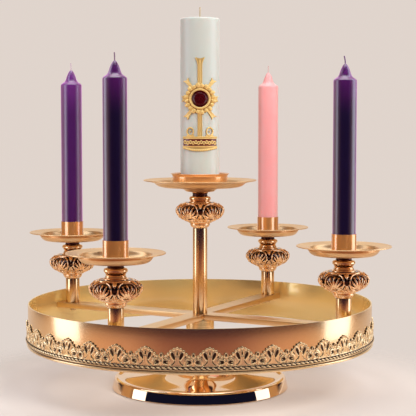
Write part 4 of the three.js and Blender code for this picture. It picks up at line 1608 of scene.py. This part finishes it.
relief = press("gold", relief_parts, voxel=0.4, softening=1, wanted=30000, deepest=0.4, highest=2.2)
finish_piece(relief, gold_wax, "gold_wax", "relief_gold")
medallion_parts = [cut_plate("medallion", oval((0, RELIEF_MIDDLE), 14.4, 14.4, steps=48), [], 0.0, 0.8)]
medallion_parts.append(add_bead(0, RELIEF_MIDDLE, 0.6, 13.6, 0.12))
for ring in (9.5, 5.8):
    medallion_parts.append(add_wire(oval((0, RELIEF_MIDDLE), ring, ring, steps=32), 1.6, 0.7, closed=True))
medallion_parts.append(add_bead(0, RELIEF_MIDDLE, 1.6, 2.6, 0.5))
medallion = press("medallion", medallion_parts, voxel=0.42, softening=2, wanted=6000, deepest=1.2, highest=2.4)
finish_piece(medallion, red_wax, "red_wax", "relief_medallion")
stripe_parts = [cut_plate("stripe", upright(28.6, 418.6, 432.0), [], 0.0, 0.9)]
stripe = press("stripe", stripe_parts, voxel=0.5, softening=1, wanted=3000, deepest=0.8, highest=1.4)
finish_piece(stripe, band_red, "red_wax", "relief_stripe")
print("relief pressed:", [piece.name for piece in (relief, medallion, stripe)])

# %% [markdown]
# ## Finishes for what stays as it is
# Some solids are right as they stand: the iron weight, the felt, the rods with their nuts and the pricket.
# They get a proper finish in their own material slots. The rods are of steel with a yellow zinc plating.

# %% Finish the plain solids
iron, nodes, shader = new_finish("painted_iron", Metallic=0.2)
crust = nodes.noise(nodes.place(), 220.0, 4.0)
nodes.feed(shader.inputs["Base Color"], nodes.blend(crust, (0.03, 0.03, 0.032), (0.07, 0.065, 0.06)))
nodes.feed(shader.inputs["Roughness"], 0.55 + crust * 0.3)
nodes.feed(shader.inputs["Normal"], nodes.bump(crust, 0.6, 0.001))
felt, nodes, shader = new_finish("green_felt", Sheen_Weight=0.4)
fibres = nodes.noise(nodes.place(), 900.0, 4.0)
nodes.feed(shader.inputs["Base Color"], nodes.blend(fibres, (0.02, 0.06, 0.03), (0.05, 0.11, 0.06)))
nodes.feed(shader.inputs["Roughness"], 0.85 + fibres * 0.1)
nodes.feed(shader.inputs["Normal"], nodes.bump(fibres, 0.8, 0.0006))
zinc, nodes, shader = new_finish("yellow_zinc_steel", Metallic=0.7)
spangle = nodes.noise(nodes.place(), 400.0, 3.0)
nodes.feed(shader.inputs["Base Color"], nodes.blend(spangle, (0.80, 0.60, 0.32), (0.66, 0.50, 0.28)))
nodes.feed(shader.inputs["Roughness"], 0.30 + spangle * 0.2)
plain_finishes = {"foot_weight": iron, "base_felt": felt, "centre_pricket": zinc, "centre_tie_rod": zinc}
plain_finishes.update({f"{side}_tie_rod": zinc for side in SIDES})
for node, material in plain_finishes.items():
    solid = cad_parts[node]
    solid.data.materials.clear()
    solid.data.materials.append(material)
print("plain solids finished:", sorted(plain_finishes))
